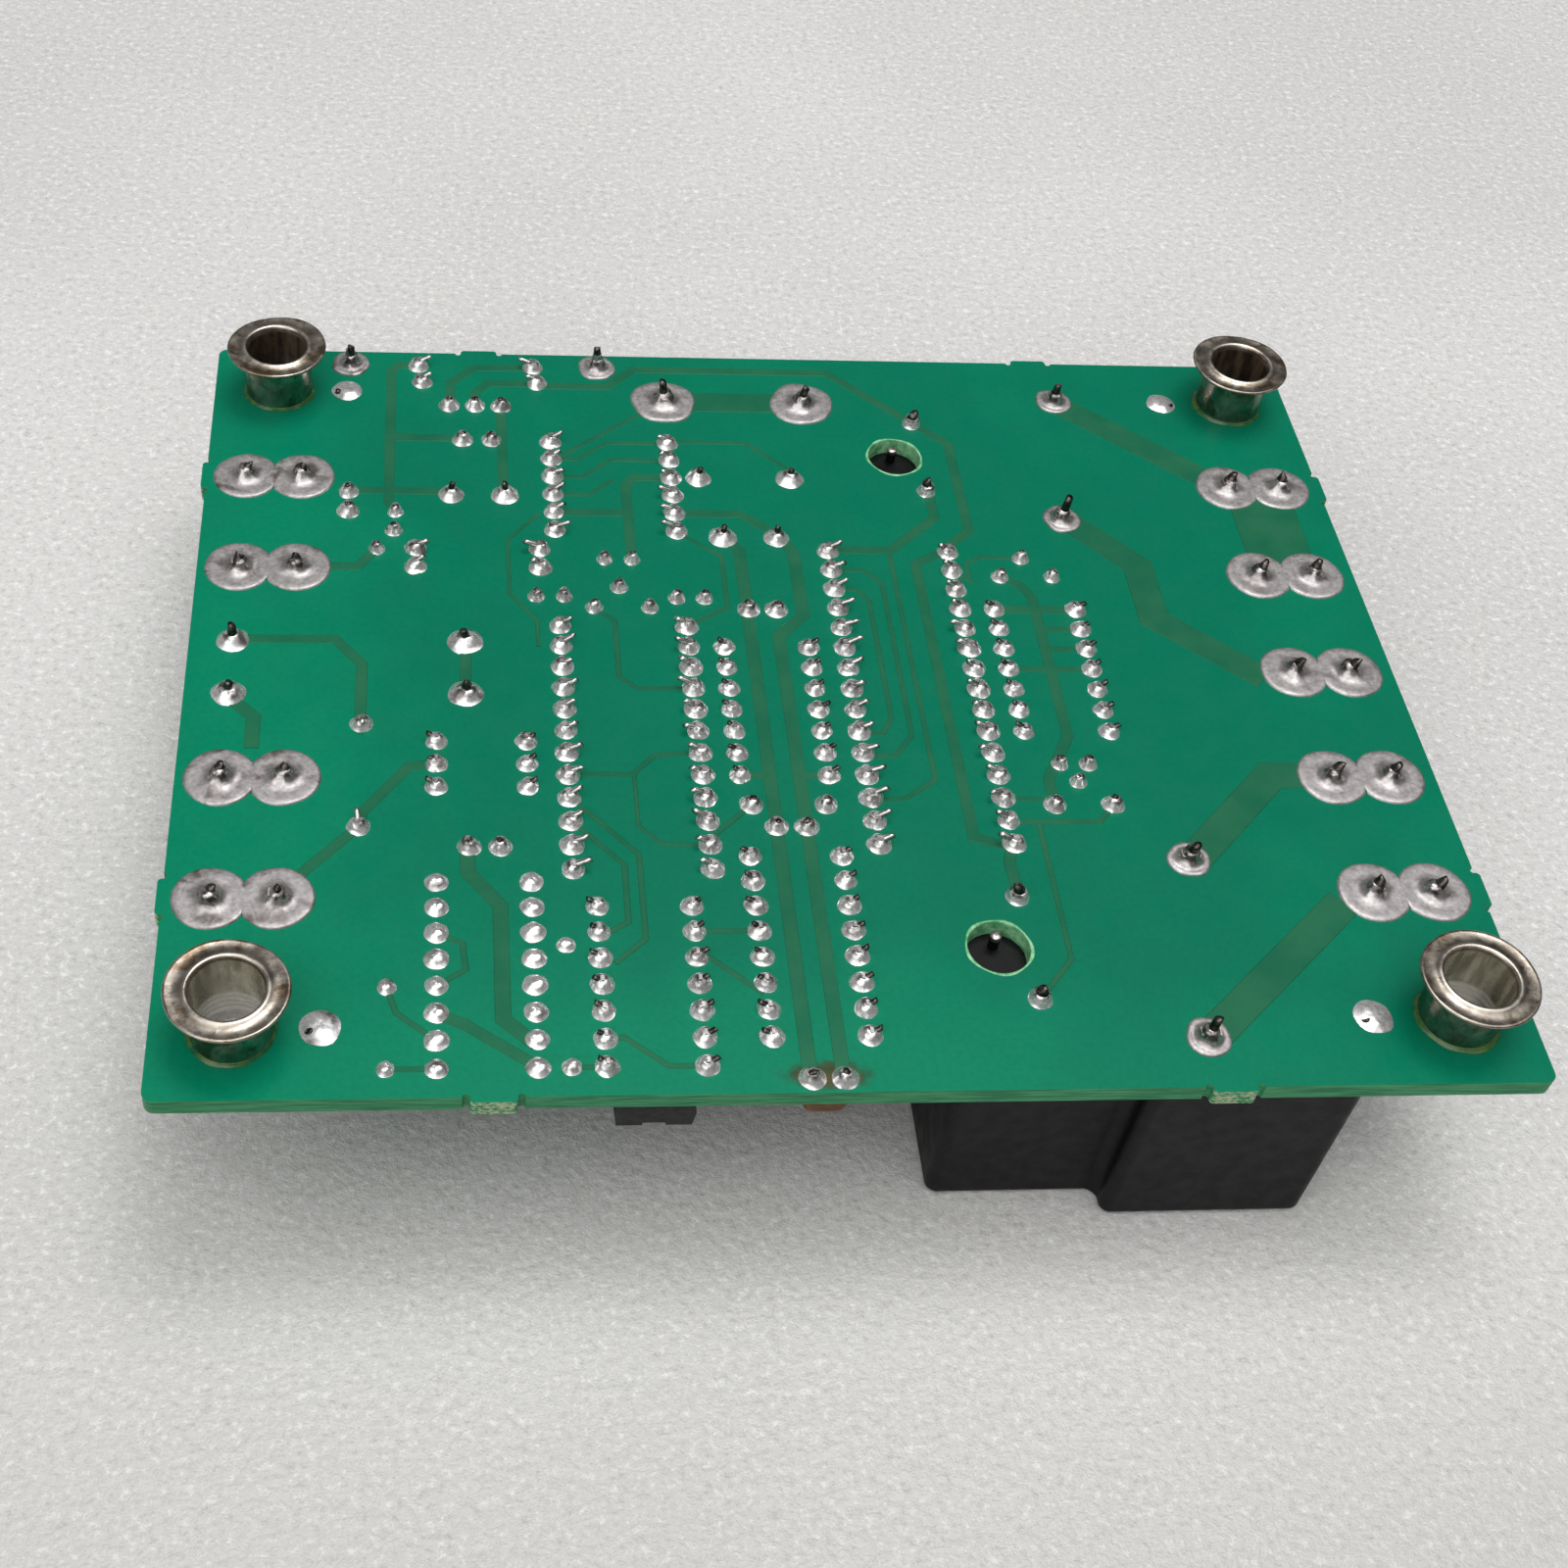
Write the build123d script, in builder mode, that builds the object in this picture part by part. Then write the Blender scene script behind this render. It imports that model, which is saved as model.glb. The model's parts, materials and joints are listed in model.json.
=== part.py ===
"""Relay and logic driver board, lying solder side up on its two relays.

Row frame: +X along the long side of the board, +Y towards its back edge, +Z out of the
solder side. The origin is below the board's centre, on the surface that the relays and the
heatsink stand on. Every component hangs below the board, on its component side.
"""
from build123d import *
import os

os.makedirs("parts", exist_ok=True)

# ---------------------------------------------------------------- board
GRID = 2.54                       # component grid, a tenth of an inch
BOARD_LENGTH = 108.5
BOARD_WIDTH = 88.5
BOARD_THICKNESS = 1.6
BOARD_CORNER = 0.9
SOLDER_SIDE = 20.0                # height of the solder side over the standing surface
COMPONENT_SIDE = SOLDER_SIDE - BOARD_THICKNESS
NIB_WIDTH = 3.6                   # stubs left where the board was snapped from its panel
NIB_PROUD = 0.45
NIB_ROUND = 0.35
NIB_X = 28.4
NIB_Y = 25.2
NOTCH_RADIUS = 0.28

# ---------------------------------------------------------------- eyelet stand-offs
EYELET_SPACING_X = 96.0
EYELET_SPACING_Y = 76.0
EYELET_BORE_RADIUS = 2.75
EYELET_WALL = 0.42
EYELET_RADIUS = EYELET_BORE_RADIUS + EYELET_WALL
EYELET_HEIGHT = 5.5               # over the solder side
EYELET_FLANGE_RADIUS = 4.75
EYELET_FLANGE_THICKNESS = 0.45
EYELET_ROLL_RADIUS = 3.95         # rolled end on the component side
EYELET_ROLL_DEPTH = 0.8
EYELET_FILLET = 0.35              # solder in the corner round the barrel

# ---------------------------------------------------------------- leads and solder
TIP_HEIGHT = 0.9                  # lead end over the solder side
LEAD_TOP = SOLDER_SIDE + TIP_HEIGHT
HOLE_CLEARANCE = 0.12             # board hole over lead, on the radius
FINE_LEAD = 0.25                  # lead radii
THIN_LEAD = 0.3
STOUT_LEAD = 0.4
REGULATOR_LEAD = 0.35
HEATSINK_PIN = 0.45
COIL_PIN = 0.5
SLEEVE = 0.15                     # solder round a lead at the top of its joint

# each joint: radius on the board, height
CHIP_JOINT = (0.9, 0.7)
LEAD_JOINT = (0.95, 0.8)
TRANSISTOR_JOINT = (0.75, 0.7)
CAPACITOR_JOINT = (1.2, 0.85)
POWER_JOINT = (1.4, 0.85)
REGULATOR_JOINT = (0.95, 0.85)
COIL_JOINT = (0.9, 0.8)
BLADE_JOINT = (3.1, 0.8)
RELAY_JOINT = (1.85, 0.8)
STRAP_JOINT = (3.2, 0.8)
HEATSINK_JOINT = (1.9, 0.8)
TEST_POINT_DOME = (0.75, 0.4)
SPARE_PIN_DOME = (0.95, 0.5)
FILLED_HOLE_DOME = (1.5, 0.4)

# ---------------------------------------------------------------- dual in line packages
ROW_SPACING = 3                   # grid units between the two rows of pins
CHIP_WIDTH = 6.35
CHIP_FACE_WIDTH = 5.9             # the moulded sides taper from the parting line
CHIP_HEIGHT = 3.3
CHIP_STAND_OFF = 0.5
CHIP_END_MARGIN = 1.8             # body beyond the last pin
CHIP_NOTCH_RADIUS = 0.9
CHIP_NOTCH_DEPTH = 0.35
PIN_WIDTH = 0.5
PIN_THICKNESS = 0.26
SHOULDER_WIDTH = 1.3
CHIPS = {                         # name: left column, first row, pins in a row
    "front_left_chip": (13.55, 1, 7),
    "front_centre_chip": (18.6, 2, 8),
    "centre_chip": (18.6, 12.5, 7),
    "right_chip": (28.65, 14.5, 7),
    "optocoupler": (8.5, 12, 3),
}
SPARE_CHIP_COLUMNS = (8.5, 11.5)  # two rows of filled holes where no package is fitted
SPARE_CHIP_FIRST_ROW = 1
SPARE_CHIP_PINS = 8

# ---------------------------------------------------------------- holes filled with solder
FILLED_HOLE_PLACES = ((5.05, 2.5), (37.55, 2.5), (5.05, 32.4), (37.55, 32.4))
TEST_POINT_PLACES = ((7, 3.95), (7, 1), (12.5, 5.5), (12.5, 1))

# ---------------------------------------------------------------- axial resistors
RESISTOR_SPAN = 4.5               # grid units between the two leads
RESISTOR_LENGTH = 6.5
RESISTOR_RADIUS = 1.15
RESISTOR_WAIST = 0.95
RESISTOR_CAP = 1.3                # length of each swollen end
LEAD_BEND = 0.7
RESISTOR_STAND_OFF = 0.2
CENTRE_BANK = (12.85, 8.5, 12)    # left column, first row, count
BACK_BANK = (12.85, 24.5, 6)
RIGHT_BANK = (22.9, 9.5, 15)
LOOSE_RESISTORS = ((7.8, 34), (7.95, 33), (7.75, 23.45), (7.75, 22.5))
UPRIGHT_ROW_RESISTOR = (6, 10.3)  # this one runs towards the back edge
POWER_SPAN = 8
POWER_LENGTH = 15.5
POWER_RADIUS = 2.85
POWER_WAIST = 2.6
POWER_CAP = 2.2
POWER_STAND_OFF = 0.4
POWER_RESISTORS = ((1.5, 16.2), (1.5, 18.7))

# ---------------------------------------------------------------- capacitors
CAN_RADIUS = 5.0
CAN_HEIGHT = 15.5
CAN_GROOVE = 0.45                 # half the length of the crimped groove
CAN_GROOVE_END = 2.2              # groove's far side from the bung end
CAN_EDGE = 0.6
CAN_PITCH = 2
UPRIGHT_CANS = {"left_capacitor": (9.05, 26.4), "centre_capacitor": (19.05, 24.2)}
LYING_RADIUS = 6.25
LYING_LENGTH = 15.3
LYING_FRONT = 27.9                # the bung end faces the front edge
LYING_STAND_OFF = 0.2
LYING_LEADS = ((18.4, 27.5), (21.9, 27.5))
BUNG_THICKNESS = 0.5
BUNG_INSET = 0.95                 # can's outside to the bung, on the radius
BUNG_STAND_OFF = 0.3
CAN_LEAD_BEND = 0.35
STRAP_LEGS = ((17.37, 32), (22.85, 32))
STRAP_THICKNESS = 0.8
STRAP_WIDTH = 3.0
DISC_THICKNESS = 1.8
DISC_STAND_OFF = 0.8
DISC_MARGIN = 1.2                 # disc beyond its leads
DIPPED_LENGTH = 3.4               # small dipped bodies, where the leads are close together
DIPPED_HEIGHT = 1.9
DIPPED_ROUND = 0.8
DIPPED_STAND_OFF = 0.15
DIPPED_PITCH = 1.5                # below this many grid units the body is a dipped one
DISCS_ALONG_X = (                 # left column, row, columns between the leads
    (9.5, 29.55, 1.1), (19.65, 20.4, 1), (9.55, 9.45, 1), (19.6, 10.25, 1),
    (18.85, 11.2, 2.5), (29.1, 11.2, 2), (19.65, 0.5, 1),
)
DISC_ALONG_Y = (5.27, 25.45, 1.05)

# ---------------------------------------------------------------- transistors and regulator
TRANSISTOR_RADIUS = 2.3
TRANSISTOR_FLAT = 1.3             # centre to the flat side
TRANSISTOR_HEIGHT = 4.6
TRANSISTOR_TOP = 15.4
TRANSISTOR_PITCH = 1.27
TRANSISTOR_LEAD_STUB = 0.5        # straight lead at the body and at the board
TRANSISTOR_LEAD_BEND = 0.3
TRANSISTORS = (                   # body centre, then its three pads
    ((15.1, 22.4), ((14.6, 22.95), (15.05, 21.5), (15.6, 22.95))),
    ((13.1, 21), ((12.05, 21), (13.05, 21), (14.1, 20.45))),
    ((17.1, 20.8), ((16.1, 20.45), (17.1, 20.95), (18.1, 20.95))),
    ((30.1, 22.6), ((29.15, 22.2), (30.1, 23.2), (31.1, 22.2))),
    ((30.1, 12.8), ((29.6, 13), (30.1, 12.2), (30.6, 13))),
    ((6.9, 24.4), ((6.35, 23.4), (6.95, 24.4), (7, 25.4))),
)
REGULATOR = (10, 31.6)
REGULATOR_WIDTH = 10.0
REGULATOR_TOP = 17.2
REGULATOR_BODY = 9.2
REGULATOR_DEPTH = 3.2
REGULATOR_CHAMFER = 0.4
TAB_THICKNESS = 1.3
TAB_BOTTOM = 2.0
TAB_TO_LEADS = 2.65
TAB_HOLE_Z = 4.8
TAB_HOLE_RADIUS = 1.85
HEATSINK_PINS = ((5.15, 34.05), (14.85, 34.05))
HEATSINK_THICKNESS = 1.0
HEATSINK_TOP = 18.0
HEATSINK_BACK = 43.2
SCREW_RADIUS = 1.5
SCREW_HEAD_RADIUS = 2.8
SCREW_HEAD_HEIGHT = 2.0
SCREW_SLOT_WIDTH = 0.7
NUT_FLAT_RADIUS = 2.75
NUT_THICKNESS = 2.4
SCREW_END = 0.6                   # thread beyond the nut

# ---------------------------------------------------------------- blade terminals
BLADE_LEFT_COLUMN = 2.5
BLADE_RIGHT_COLUMN = 40.05
BLADE_LEFT_ROWS = (7.4, 12.4, 22.4, 27.3)
BLADE_RIGHT_ROWS = (7.4, 12.4, 17.4, 22.4, 27.3)
BLADE_WIDTH = 6.35
BLADE_THICKNESS = 0.8
BLADE_LENGTH = 12.5
BLADE_TAPER = 1.4
BLADE_HOLE_RADIUS = 0.85
BLADE_LEG_PITCH = 5.2
BLADE_LEG_WIDTH = 1.2

# ---------------------------------------------------------------- relays
RELAY_ROWS = {"front_relay": 5.3, "back_relay": 28.9}
RELAY_LEFT = 7.9
RELAY_STEP = 22.3                 # where the case widens over the contacts
RELAY_RIGHT = 39.6
RELAY_HALF_WIDTH = 13.15          # contact end, about the pins' centre line
COIL_END_FRONT = 10.9
COIL_END_BACK = 9.2
CASE_WALL = 1.0
CASE_ROUND = 1.0
CASE_EDGE = 0.95
BASE_THICKNESS = 1.5
VENT_X = 12.2
VENT_HOLE_RADIUS = 2.57
VENT_PEG_RADIUS = 0.45
VENT_PEG_HEIGHT = 1.45
VENT_PEG_BACK = 1.3               # the peg stands this far behind the hole's centre
COIL_PIN_X = 14.6                 # the coil's two pins
COIL_PIN_PITCH = 10.16
COIL_X = 14.0
CORE_RADIUS = 2.1
CORE_TIP_Z = 6.3
BOBBIN_TUBE_RADIUS = 2.7
WINDING_RADIUS = 4.8
FLANGE_LENGTH = 9.6
FLANGE_WIDTH = 13.0
FLANGE_THICKNESS = 1.0
FLANGE_LOW_Z = 6.5
FLANGE_HIGH_Z = 14.5
YOKE_THICKNESS = 1.4
YOKE_HALF_WIDTH = 4.0
YOKE_LEG_X = 19.3
YOKE_END_Z = 5.9
ARMATURE_TOP_Z = 5.6
ARMATURE_THICKNESS = 1.2
ARMATURE_LEFT = 9.7
ARMATURE_RIGHT = 20.9
ARMATURE_HALF_WIDTH = 5.4
SPRING_THICKNESS = 0.3
SPRING_HALF_WIDTH = 2.6
SPRING_LEFT = 12.5
CONTACT_X = 31.5
CONTACT_RADIUS = 1.6
CONTACT_HEIGHT = 0.8
CONTACT_GAP = 0.9
ARMATURE_ROUND = 1.0
TERMINAL_THICKNESS = 0.8
TERMINAL_FOOT_WIDTH = 1.6
TERMINAL_STRIP_WIDTH = 4.0
COMMON_TERMINAL_X = 29.9
FIXED_TERMINAL_X = 27.3
TERMINAL_OFFSET = 8.9             # terminals stand this far from the centre line
FIXED_STRIP_OVERHANG = 2.0        # fixed contact's strip beyond the contact's centre
FLOOR_GAP = 0.2                   # fixed contact's strip over the case floor
COMMON_BAR_LOW_Z = 9.0
COMMON_BAR_HEIGHT = 3.0
COMMON_BAR_OFFSET = 3.0           # from the centre line, where it leaves the yoke
COMMON_BAR_TURN_X = 25.0
SEAT_CLEARANCE = 0.05


def spot(column, row):
    """The place on the board of a grid position counted from its front left corner."""
    return (column * GRID - BOARD_LENGTH / 2, row * GRID - BOARD_WIDTH / 2)


def at_height(spots, z):
    return [(x, y, z) for x, y in spots]


def save(builder, name):
    builder.part.label = name
    export_step(builder.part, f"parts/{name}.step")


def chip_pads(name):
    column, row, count = CHIPS[name]
    return [spot(column + side, row + n) for side in (0, ROW_SPACING) for n in range(count)]


def bank_rows(bank):
    column, first_row, count = bank
    return [(column, first_row + n) for n in range(count)]


def resistor_centres(starts):
    return [spot(column + RESISTOR_SPAN / 2, row) for column, row in starts]


def resistor_pads(starts):
    return [spot(column + side, row) for column, row in starts for side in (0, RESISTOR_SPAN)]


EYELETS = {
    f"{depth}_{side}_eyelet": (x, y)
    for depth, y in (("front", -EYELET_SPACING_Y / 2), ("back", EYELET_SPACING_Y / 2))
    for side, x in (("left", -EYELET_SPACING_X / 2), ("right", EYELET_SPACING_X / 2))
}
CHIP_PADS = [pad for name in CHIPS for pad in chip_pads(name)]
RESISTOR_STARTS = (bank_rows(CENTRE_BANK) + bank_rows(BACK_BANK) + bank_rows(RIGHT_BANK)
                   + list(LOOSE_RESISTORS))
UPRIGHT_PADS = [spot(UPRIGHT_ROW_RESISTOR[0], UPRIGHT_ROW_RESISTOR[1] + side)
                for side in (0, RESISTOR_SPAN)]
RESISTOR_PADS = resistor_pads(RESISTOR_STARTS) + UPRIGHT_PADS
POWER_PADS = [spot(column + side, row) for column, row in POWER_RESISTORS
              for side in (0, POWER_SPAN)]
CAN_PADS = [spot(column + side, row) for column, row in UPRIGHT_CANS.values()
            for side in (0, CAN_PITCH)]
LYING_PADS = [spot(*place) for place in LYING_LEADS]
DISC_PADS = [spot(column + side, row) for column, row, pitch in DISCS_ALONG_X
             for side in (0, pitch)]
DISC_PADS += [spot(DISC_ALONG_Y[0], DISC_ALONG_Y[1] + side) for side in (0, DISC_ALONG_Y[2])]
TRANSISTOR_PADS = [spot(*pad) for _, pads in TRANSISTORS for pad in pads]
REGULATOR_PADS = [spot(REGULATOR[0] + side, REGULATOR[1]) for side in (-1, 0, 1)]
HEATSINK_PADS = [spot(*place) for place in HEATSINK_PINS]
BLADES_LEFT = [spot(BLADE_LEFT_COLUMN, row) for row in BLADE_LEFT_ROWS]
BLADES_RIGHT = [spot(BLADE_RIGHT_COLUMN, row) for row in BLADE_RIGHT_ROWS]
BLADE_PADS = [(x + side * BLADE_LEG_PITCH / 2, y) for x, y in BLADES_LEFT + BLADES_RIGHT
              for side in (-1, 1)]
STRAP_PADS = [spot(*place) for place in STRAP_LEGS]
RELAY_CENTRES = {name: spot(0, row)[1] for name, row in RELAY_ROWS.items()}
COIL_PADS = [(COIL_PIN_X, y + side * COIL_PIN_PITCH / 2) for y in RELAY_CENTRES.values()
             for side in (-1, 1)]
COMMON_PADS = [(COMMON_TERMINAL_X, y + TERMINAL_OFFSET) for y in RELAY_CENTRES.values()]
FIXED_PADS = [(FIXED_TERMINAL_X, y - TERMINAL_OFFSET) for y in RELAY_CENTRES.values()]
VENTS = [(VENT_X, y) for y in RELAY_CENTRES.values()]
FILLED_HOLES = [spot(*place) for place in FILLED_HOLE_PLACES]
SPARE_PINS = [spot(column, SPARE_CHIP_FIRST_ROW + n) for column in SPARE_CHIP_COLUMNS
              for n in range(SPARE_CHIP_PINS)]
TEST_POINTS = [spot(*place) for place in TEST_POINT_PLACES]


# ---------------------------------------------------------------- circuit board
def round_holes(spots, lead_radius):
    with Locations(*spots):
        Circle(lead_radius + HOLE_CLEARANCE, mode=Mode.SUBTRACT)


with BuildPart() as circuit_board:
    with BuildSketch(Plane.XY.offset(COMPONENT_SIDE)):
        RectangleRounded(BOARD_LENGTH, BOARD_WIDTH, BOARD_CORNER)
        long_edge_nibs = [(x, y) for x in (-NIB_X, NIB_X) for y in (-BOARD_WIDTH / 2, BOARD_WIDTH / 2)]
        short_edge_nibs = [(x, y) for x in (-BOARD_LENGTH / 2, BOARD_LENGTH / 2) for y in (-NIB_Y, NIB_Y)]
        with Locations(*long_edge_nibs):
            RectangleRounded(NIB_WIDTH, 2 * NIB_PROUD, NIB_ROUND)
        with Locations(*short_edge_nibs):
            RectangleRounded(2 * NIB_PROUD, NIB_WIDTH, NIB_ROUND)
        beside = NIB_WIDTH / 2 + NOTCH_RADIUS
        with Locations(*[(x + side * beside, y) for x, y in long_edge_nibs for side in (-1, 1)]):
            Circle(NOTCH_RADIUS, mode=Mode.SUBTRACT)
        with Locations(*[(x, y + side * beside) for x, y in short_edge_nibs for side in (-1, 1)]):
            Circle(NOTCH_RADIUS, mode=Mode.SUBTRACT)
        with Locations(*EYELETS.values()):
            Circle(EYELET_RADIUS + SEAT_CLEARANCE, mode=Mode.SUBTRACT)
        with Locations(*VENTS):
            Circle(VENT_HOLE_RADIUS, mode=Mode.SUBTRACT)
        round_holes(CHIP_PADS, PIN_WIDTH / 2 + SEAT_CLEARANCE)
        round_holes(RESISTOR_PADS + CAN_PADS + LYING_PADS + DISC_PADS, THIN_LEAD)
        round_holes(TRANSISTOR_PADS, FINE_LEAD)
        round_holes(POWER_PADS, STOUT_LEAD)
        round_holes(REGULATOR_PADS, REGULATOR_LEAD)
        round_holes(HEATSINK_PADS, HEATSINK_PIN)
        round_holes(COIL_PADS, COIL_PIN)
        round_holes(BLADE_PADS, BLADE_LEG_WIDTH / 2 + SEAT_CLEARANCE)
        round_holes(COMMON_PADS + FIXED_PADS, TERMINAL_FOOT_WIDTH / 2 + SEAT_CLEARANCE)
        round_holes(STRAP_PADS, TERMINAL_FOOT_WIDTH / 2 + SEAT_CLEARANCE)
        round_holes(FILLED_HOLES, STOUT_LEAD)
        round_holes(TEST_POINTS + SPARE_PINS, FINE_LEAD)
    extrude(amount=BOARD_THICKNESS)
save(circuit_board, "circuit_board")


# ---------------------------------------------------------------- eyelet stand-offs
def make_eyelet(x, y):
    top = SOLDER_SIDE + EYELET_HEIGHT
    roll_z = COMPONENT_SIDE - EYELET_ROLL_DEPTH
    with BuildPart() as eyelet:
        with BuildSketch(Plane(origin=(x, y, 0), x_dir=(1, 0, 0), z_dir=(0, -1, 0))):
            with BuildLine():
                Polyline((EYELET_BORE_RADIUS, roll_z), (EYELET_BORE_RADIUS, top),
                         (EYELET_FLANGE_RADIUS, top),
                         (EYELET_FLANGE_RADIUS, top - EYELET_FLANGE_THICKNESS),
                         (EYELET_RADIUS, top - EYELET_FLANGE_THICKNESS),
                         (EYELET_RADIUS, COMPONENT_SIDE), (EYELET_ROLL_RADIUS, COMPONENT_SIDE),
                         (EYELET_ROLL_RADIUS, roll_z), close=True)
            make_face()
        revolve(axis=Axis((x, y, 0), (0, 0, 1)))
        rims = eyelet.edges().filter_by(GeomType.CIRCLE)
        outer = rims.filter_by(lambda edge: edge.radius > EYELET_ROLL_RADIUS - SEAT_CLEARANCE)
        fillet(outer.group_by(Axis.Z)[-1] + outer.group_by(Axis.Z)[0], EYELET_FLANGE_THICKNESS / 2)
    return eyelet


for name, (x, y) in EYELETS.items():
    save(make_eyelet(x, y), name)

with BuildPart() as eyelet_solder_rings:
    with Locations(*at_height(EYELETS.values(), SOLDER_SIDE)):
        Cone(EYELET_RADIUS + EYELET_FILLET, EYELET_RADIUS + SEAT_CLEARANCE, EYELET_FILLET,
             align=(Align.CENTER, Align.CENTER, Align.MIN))
        Cylinder(EYELET_RADIUS, EYELET_FILLET, align=(Align.CENTER, Align.CENTER, Align.MIN),
                 mode=Mode.SUBTRACT)
save(eyelet_solder_rings, "eyelet_solder_rings")


# ---------------------------------------------------------------- blade terminals
def make_blades(spots):
    half = BLADE_WIDTH / 2
    leg = BLADE_LEG_PITCH / 2
    low = COMPONENT_SIDE - BLADE_LENGTH
    with BuildPart() as blade:
        with BuildSketch(Plane.XZ):
            with BuildLine():
                Polyline((-half, COMPONENT_SIDE), (-half, low + BLADE_TAPER),
                         (-half + BLADE_TAPER, low), (half - BLADE_TAPER, low),
                         (half, low + BLADE_TAPER), (half, COMPONENT_SIDE), close=True)
            make_face()
            with Locations((-leg, COMPONENT_SIDE), (leg, COMPONENT_SIDE)):
                Rectangle(BLADE_LEG_WIDTH, LEAD_TOP - COMPONENT_SIDE,
                          align=(Align.CENTER, Align.MIN))
            with Locations((0, low + half)):
                Circle(BLADE_HOLE_RADIUS, mode=Mode.SUBTRACT)
        extrude(amount=BLADE_THICKNESS / 2, both=True)
    with BuildPart() as blades:
        with Locations(*at_height(spots, 0)):
            add(blade.part)
    return blades


save(make_blades(BLADES_LEFT), "left_blade_terminals")
save(make_blades(BLADES_RIGHT), "right_blade_terminals")


# ---------------------------------------------------------------- dual in line packages
def make_chip(name):
    column, row, count = CHIPS[name]
    x, first_pin = spot(column + ROW_SPACING / 2, row)
    front = first_pin - CHIP_END_MARGIN
    length = (count - 1) * GRID + 2 * CHIP_END_MARGIN
    half = CHIP_WIDTH / 2
    face_half = CHIP_FACE_WIDTH / 2
    top = COMPONENT_SIDE - CHIP_STAND_OFF
    low = top - CHIP_HEIGHT
    middle = (top + low) / 2
    with BuildPart() as chip:
        with BuildSketch(Plane(origin=(x, front, 0), x_dir=(1, 0, 0), z_dir=(0, -1, 0))):
            with BuildLine():
                Polyline((-face_half, low), (-half, middle), (-face_half, top),
                         (face_half, top), (half, middle), (face_half, low), close=True)
            make_face()
        extrude(amount=-length)
        with BuildSketch(Plane(origin=(x, front, low))):
            Circle(CHIP_NOTCH_RADIUS)
        extrude(amount=CHIP_NOTCH_DEPTH, mode=Mode.SUBTRACT)
    return chip


for name in CHIPS:
    save(make_chip(name), name)

PIN_TURN_Z = COMPONENT_SIDE - CHIP_STAND_OFF - CHIP_HEIGHT / 2
with BuildPart() as pin_pair:
    outer = ROW_SPACING * GRID / 2 + PIN_THICKNESS / 2
    for side in (-1, 1):
        with BuildSketch(Plane.XZ):
            with BuildLine():
                Polyline((side * CHIP_WIDTH / 2, PIN_TURN_Z - PIN_THICKNESS / 2),
                         (side * outer, PIN_TURN_Z - PIN_THICKNESS / 2),
                         (side * outer, COMPONENT_SIDE - SEAT_CLEARANCE),
                         (side * (outer - PIN_THICKNESS), COMPONENT_SIDE - SEAT_CLEARANCE),
                         (side * (outer - PIN_THICKNESS), PIN_TURN_Z + PIN_THICKNESS / 2),
                         (side * (CHIP_WIDTH / 2), PIN_TURN_Z + PIN_THICKNESS / 2), close=True)
            make_face()
        extrude(amount=SHOULDER_WIDTH / 2, both=True)
    with Locations(*[(side * ROW_SPACING * GRID / 2, 0, COMPONENT_SIDE - SEAT_CLEARANCE)
                     for side in (-1, 1)]):
        Box(PIN_THICKNESS, PIN_WIDTH, TIP_HEIGHT + BOARD_THICKNESS + SEAT_CLEARANCE,
            align=(Align.CENTER, Align.CENTER, Align.MIN))

with BuildPart() as chip_pins:
    pair_spots = [spot(column + ROW_SPACING / 2, row + n)
                  for column, row, count in CHIPS.values() for n in range(count)]
    with Locations(*at_height(pair_spots, 0)):
        add(pin_pair.part)
save(chip_pins, "chip_pins")


# ---------------------------------------------------------------- axial resistors
def make_axial_body(length, radius, waist, cap):
    """A dog-bone body about the X axis, centred on the origin."""
    with BuildPart() as body:
        with BuildSketch(Plane.XY):
            with BuildLine():
                half = length / 2
                round_end = radius / 2
                Polyline((-half, 0), (-half, radius - round_end))
                RadiusArc((-half, radius - round_end), (-half + round_end, radius), round_end)
                Polyline((-half + round_end, radius), (-half + cap, radius),
                         (-half + cap + round_end, waist), (half - cap - round_end, waist),
                         (half - cap, radius), (half - round_end, radius))
                RadiusArc((half - round_end, radius), (half, radius - round_end), round_end)
                Polyline((half, radius - round_end), (half, 0), (-half, 0))
            make_face()
        revolve(axis=Axis.X)
    return body


def make_axial_leads(length, span, lead_radius, axis_z, bend):
    """The two bent leads of an axial part that lies along X over the origin."""
    with BuildPart() as leads:
        for side in (-1, 1):
            with BuildLine() as path:
                FilletPolyline((side * length / 2, 0, axis_z), (side * span / 2, 0, axis_z),
                               (side * span / 2, 0, LEAD_TOP), radius=bend)
            with BuildSketch(Plane(origin=path.line @ 0, z_dir=path.line % 0)):
                Circle(lead_radius)
            sweep(path=path.line)
    return leads


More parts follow.
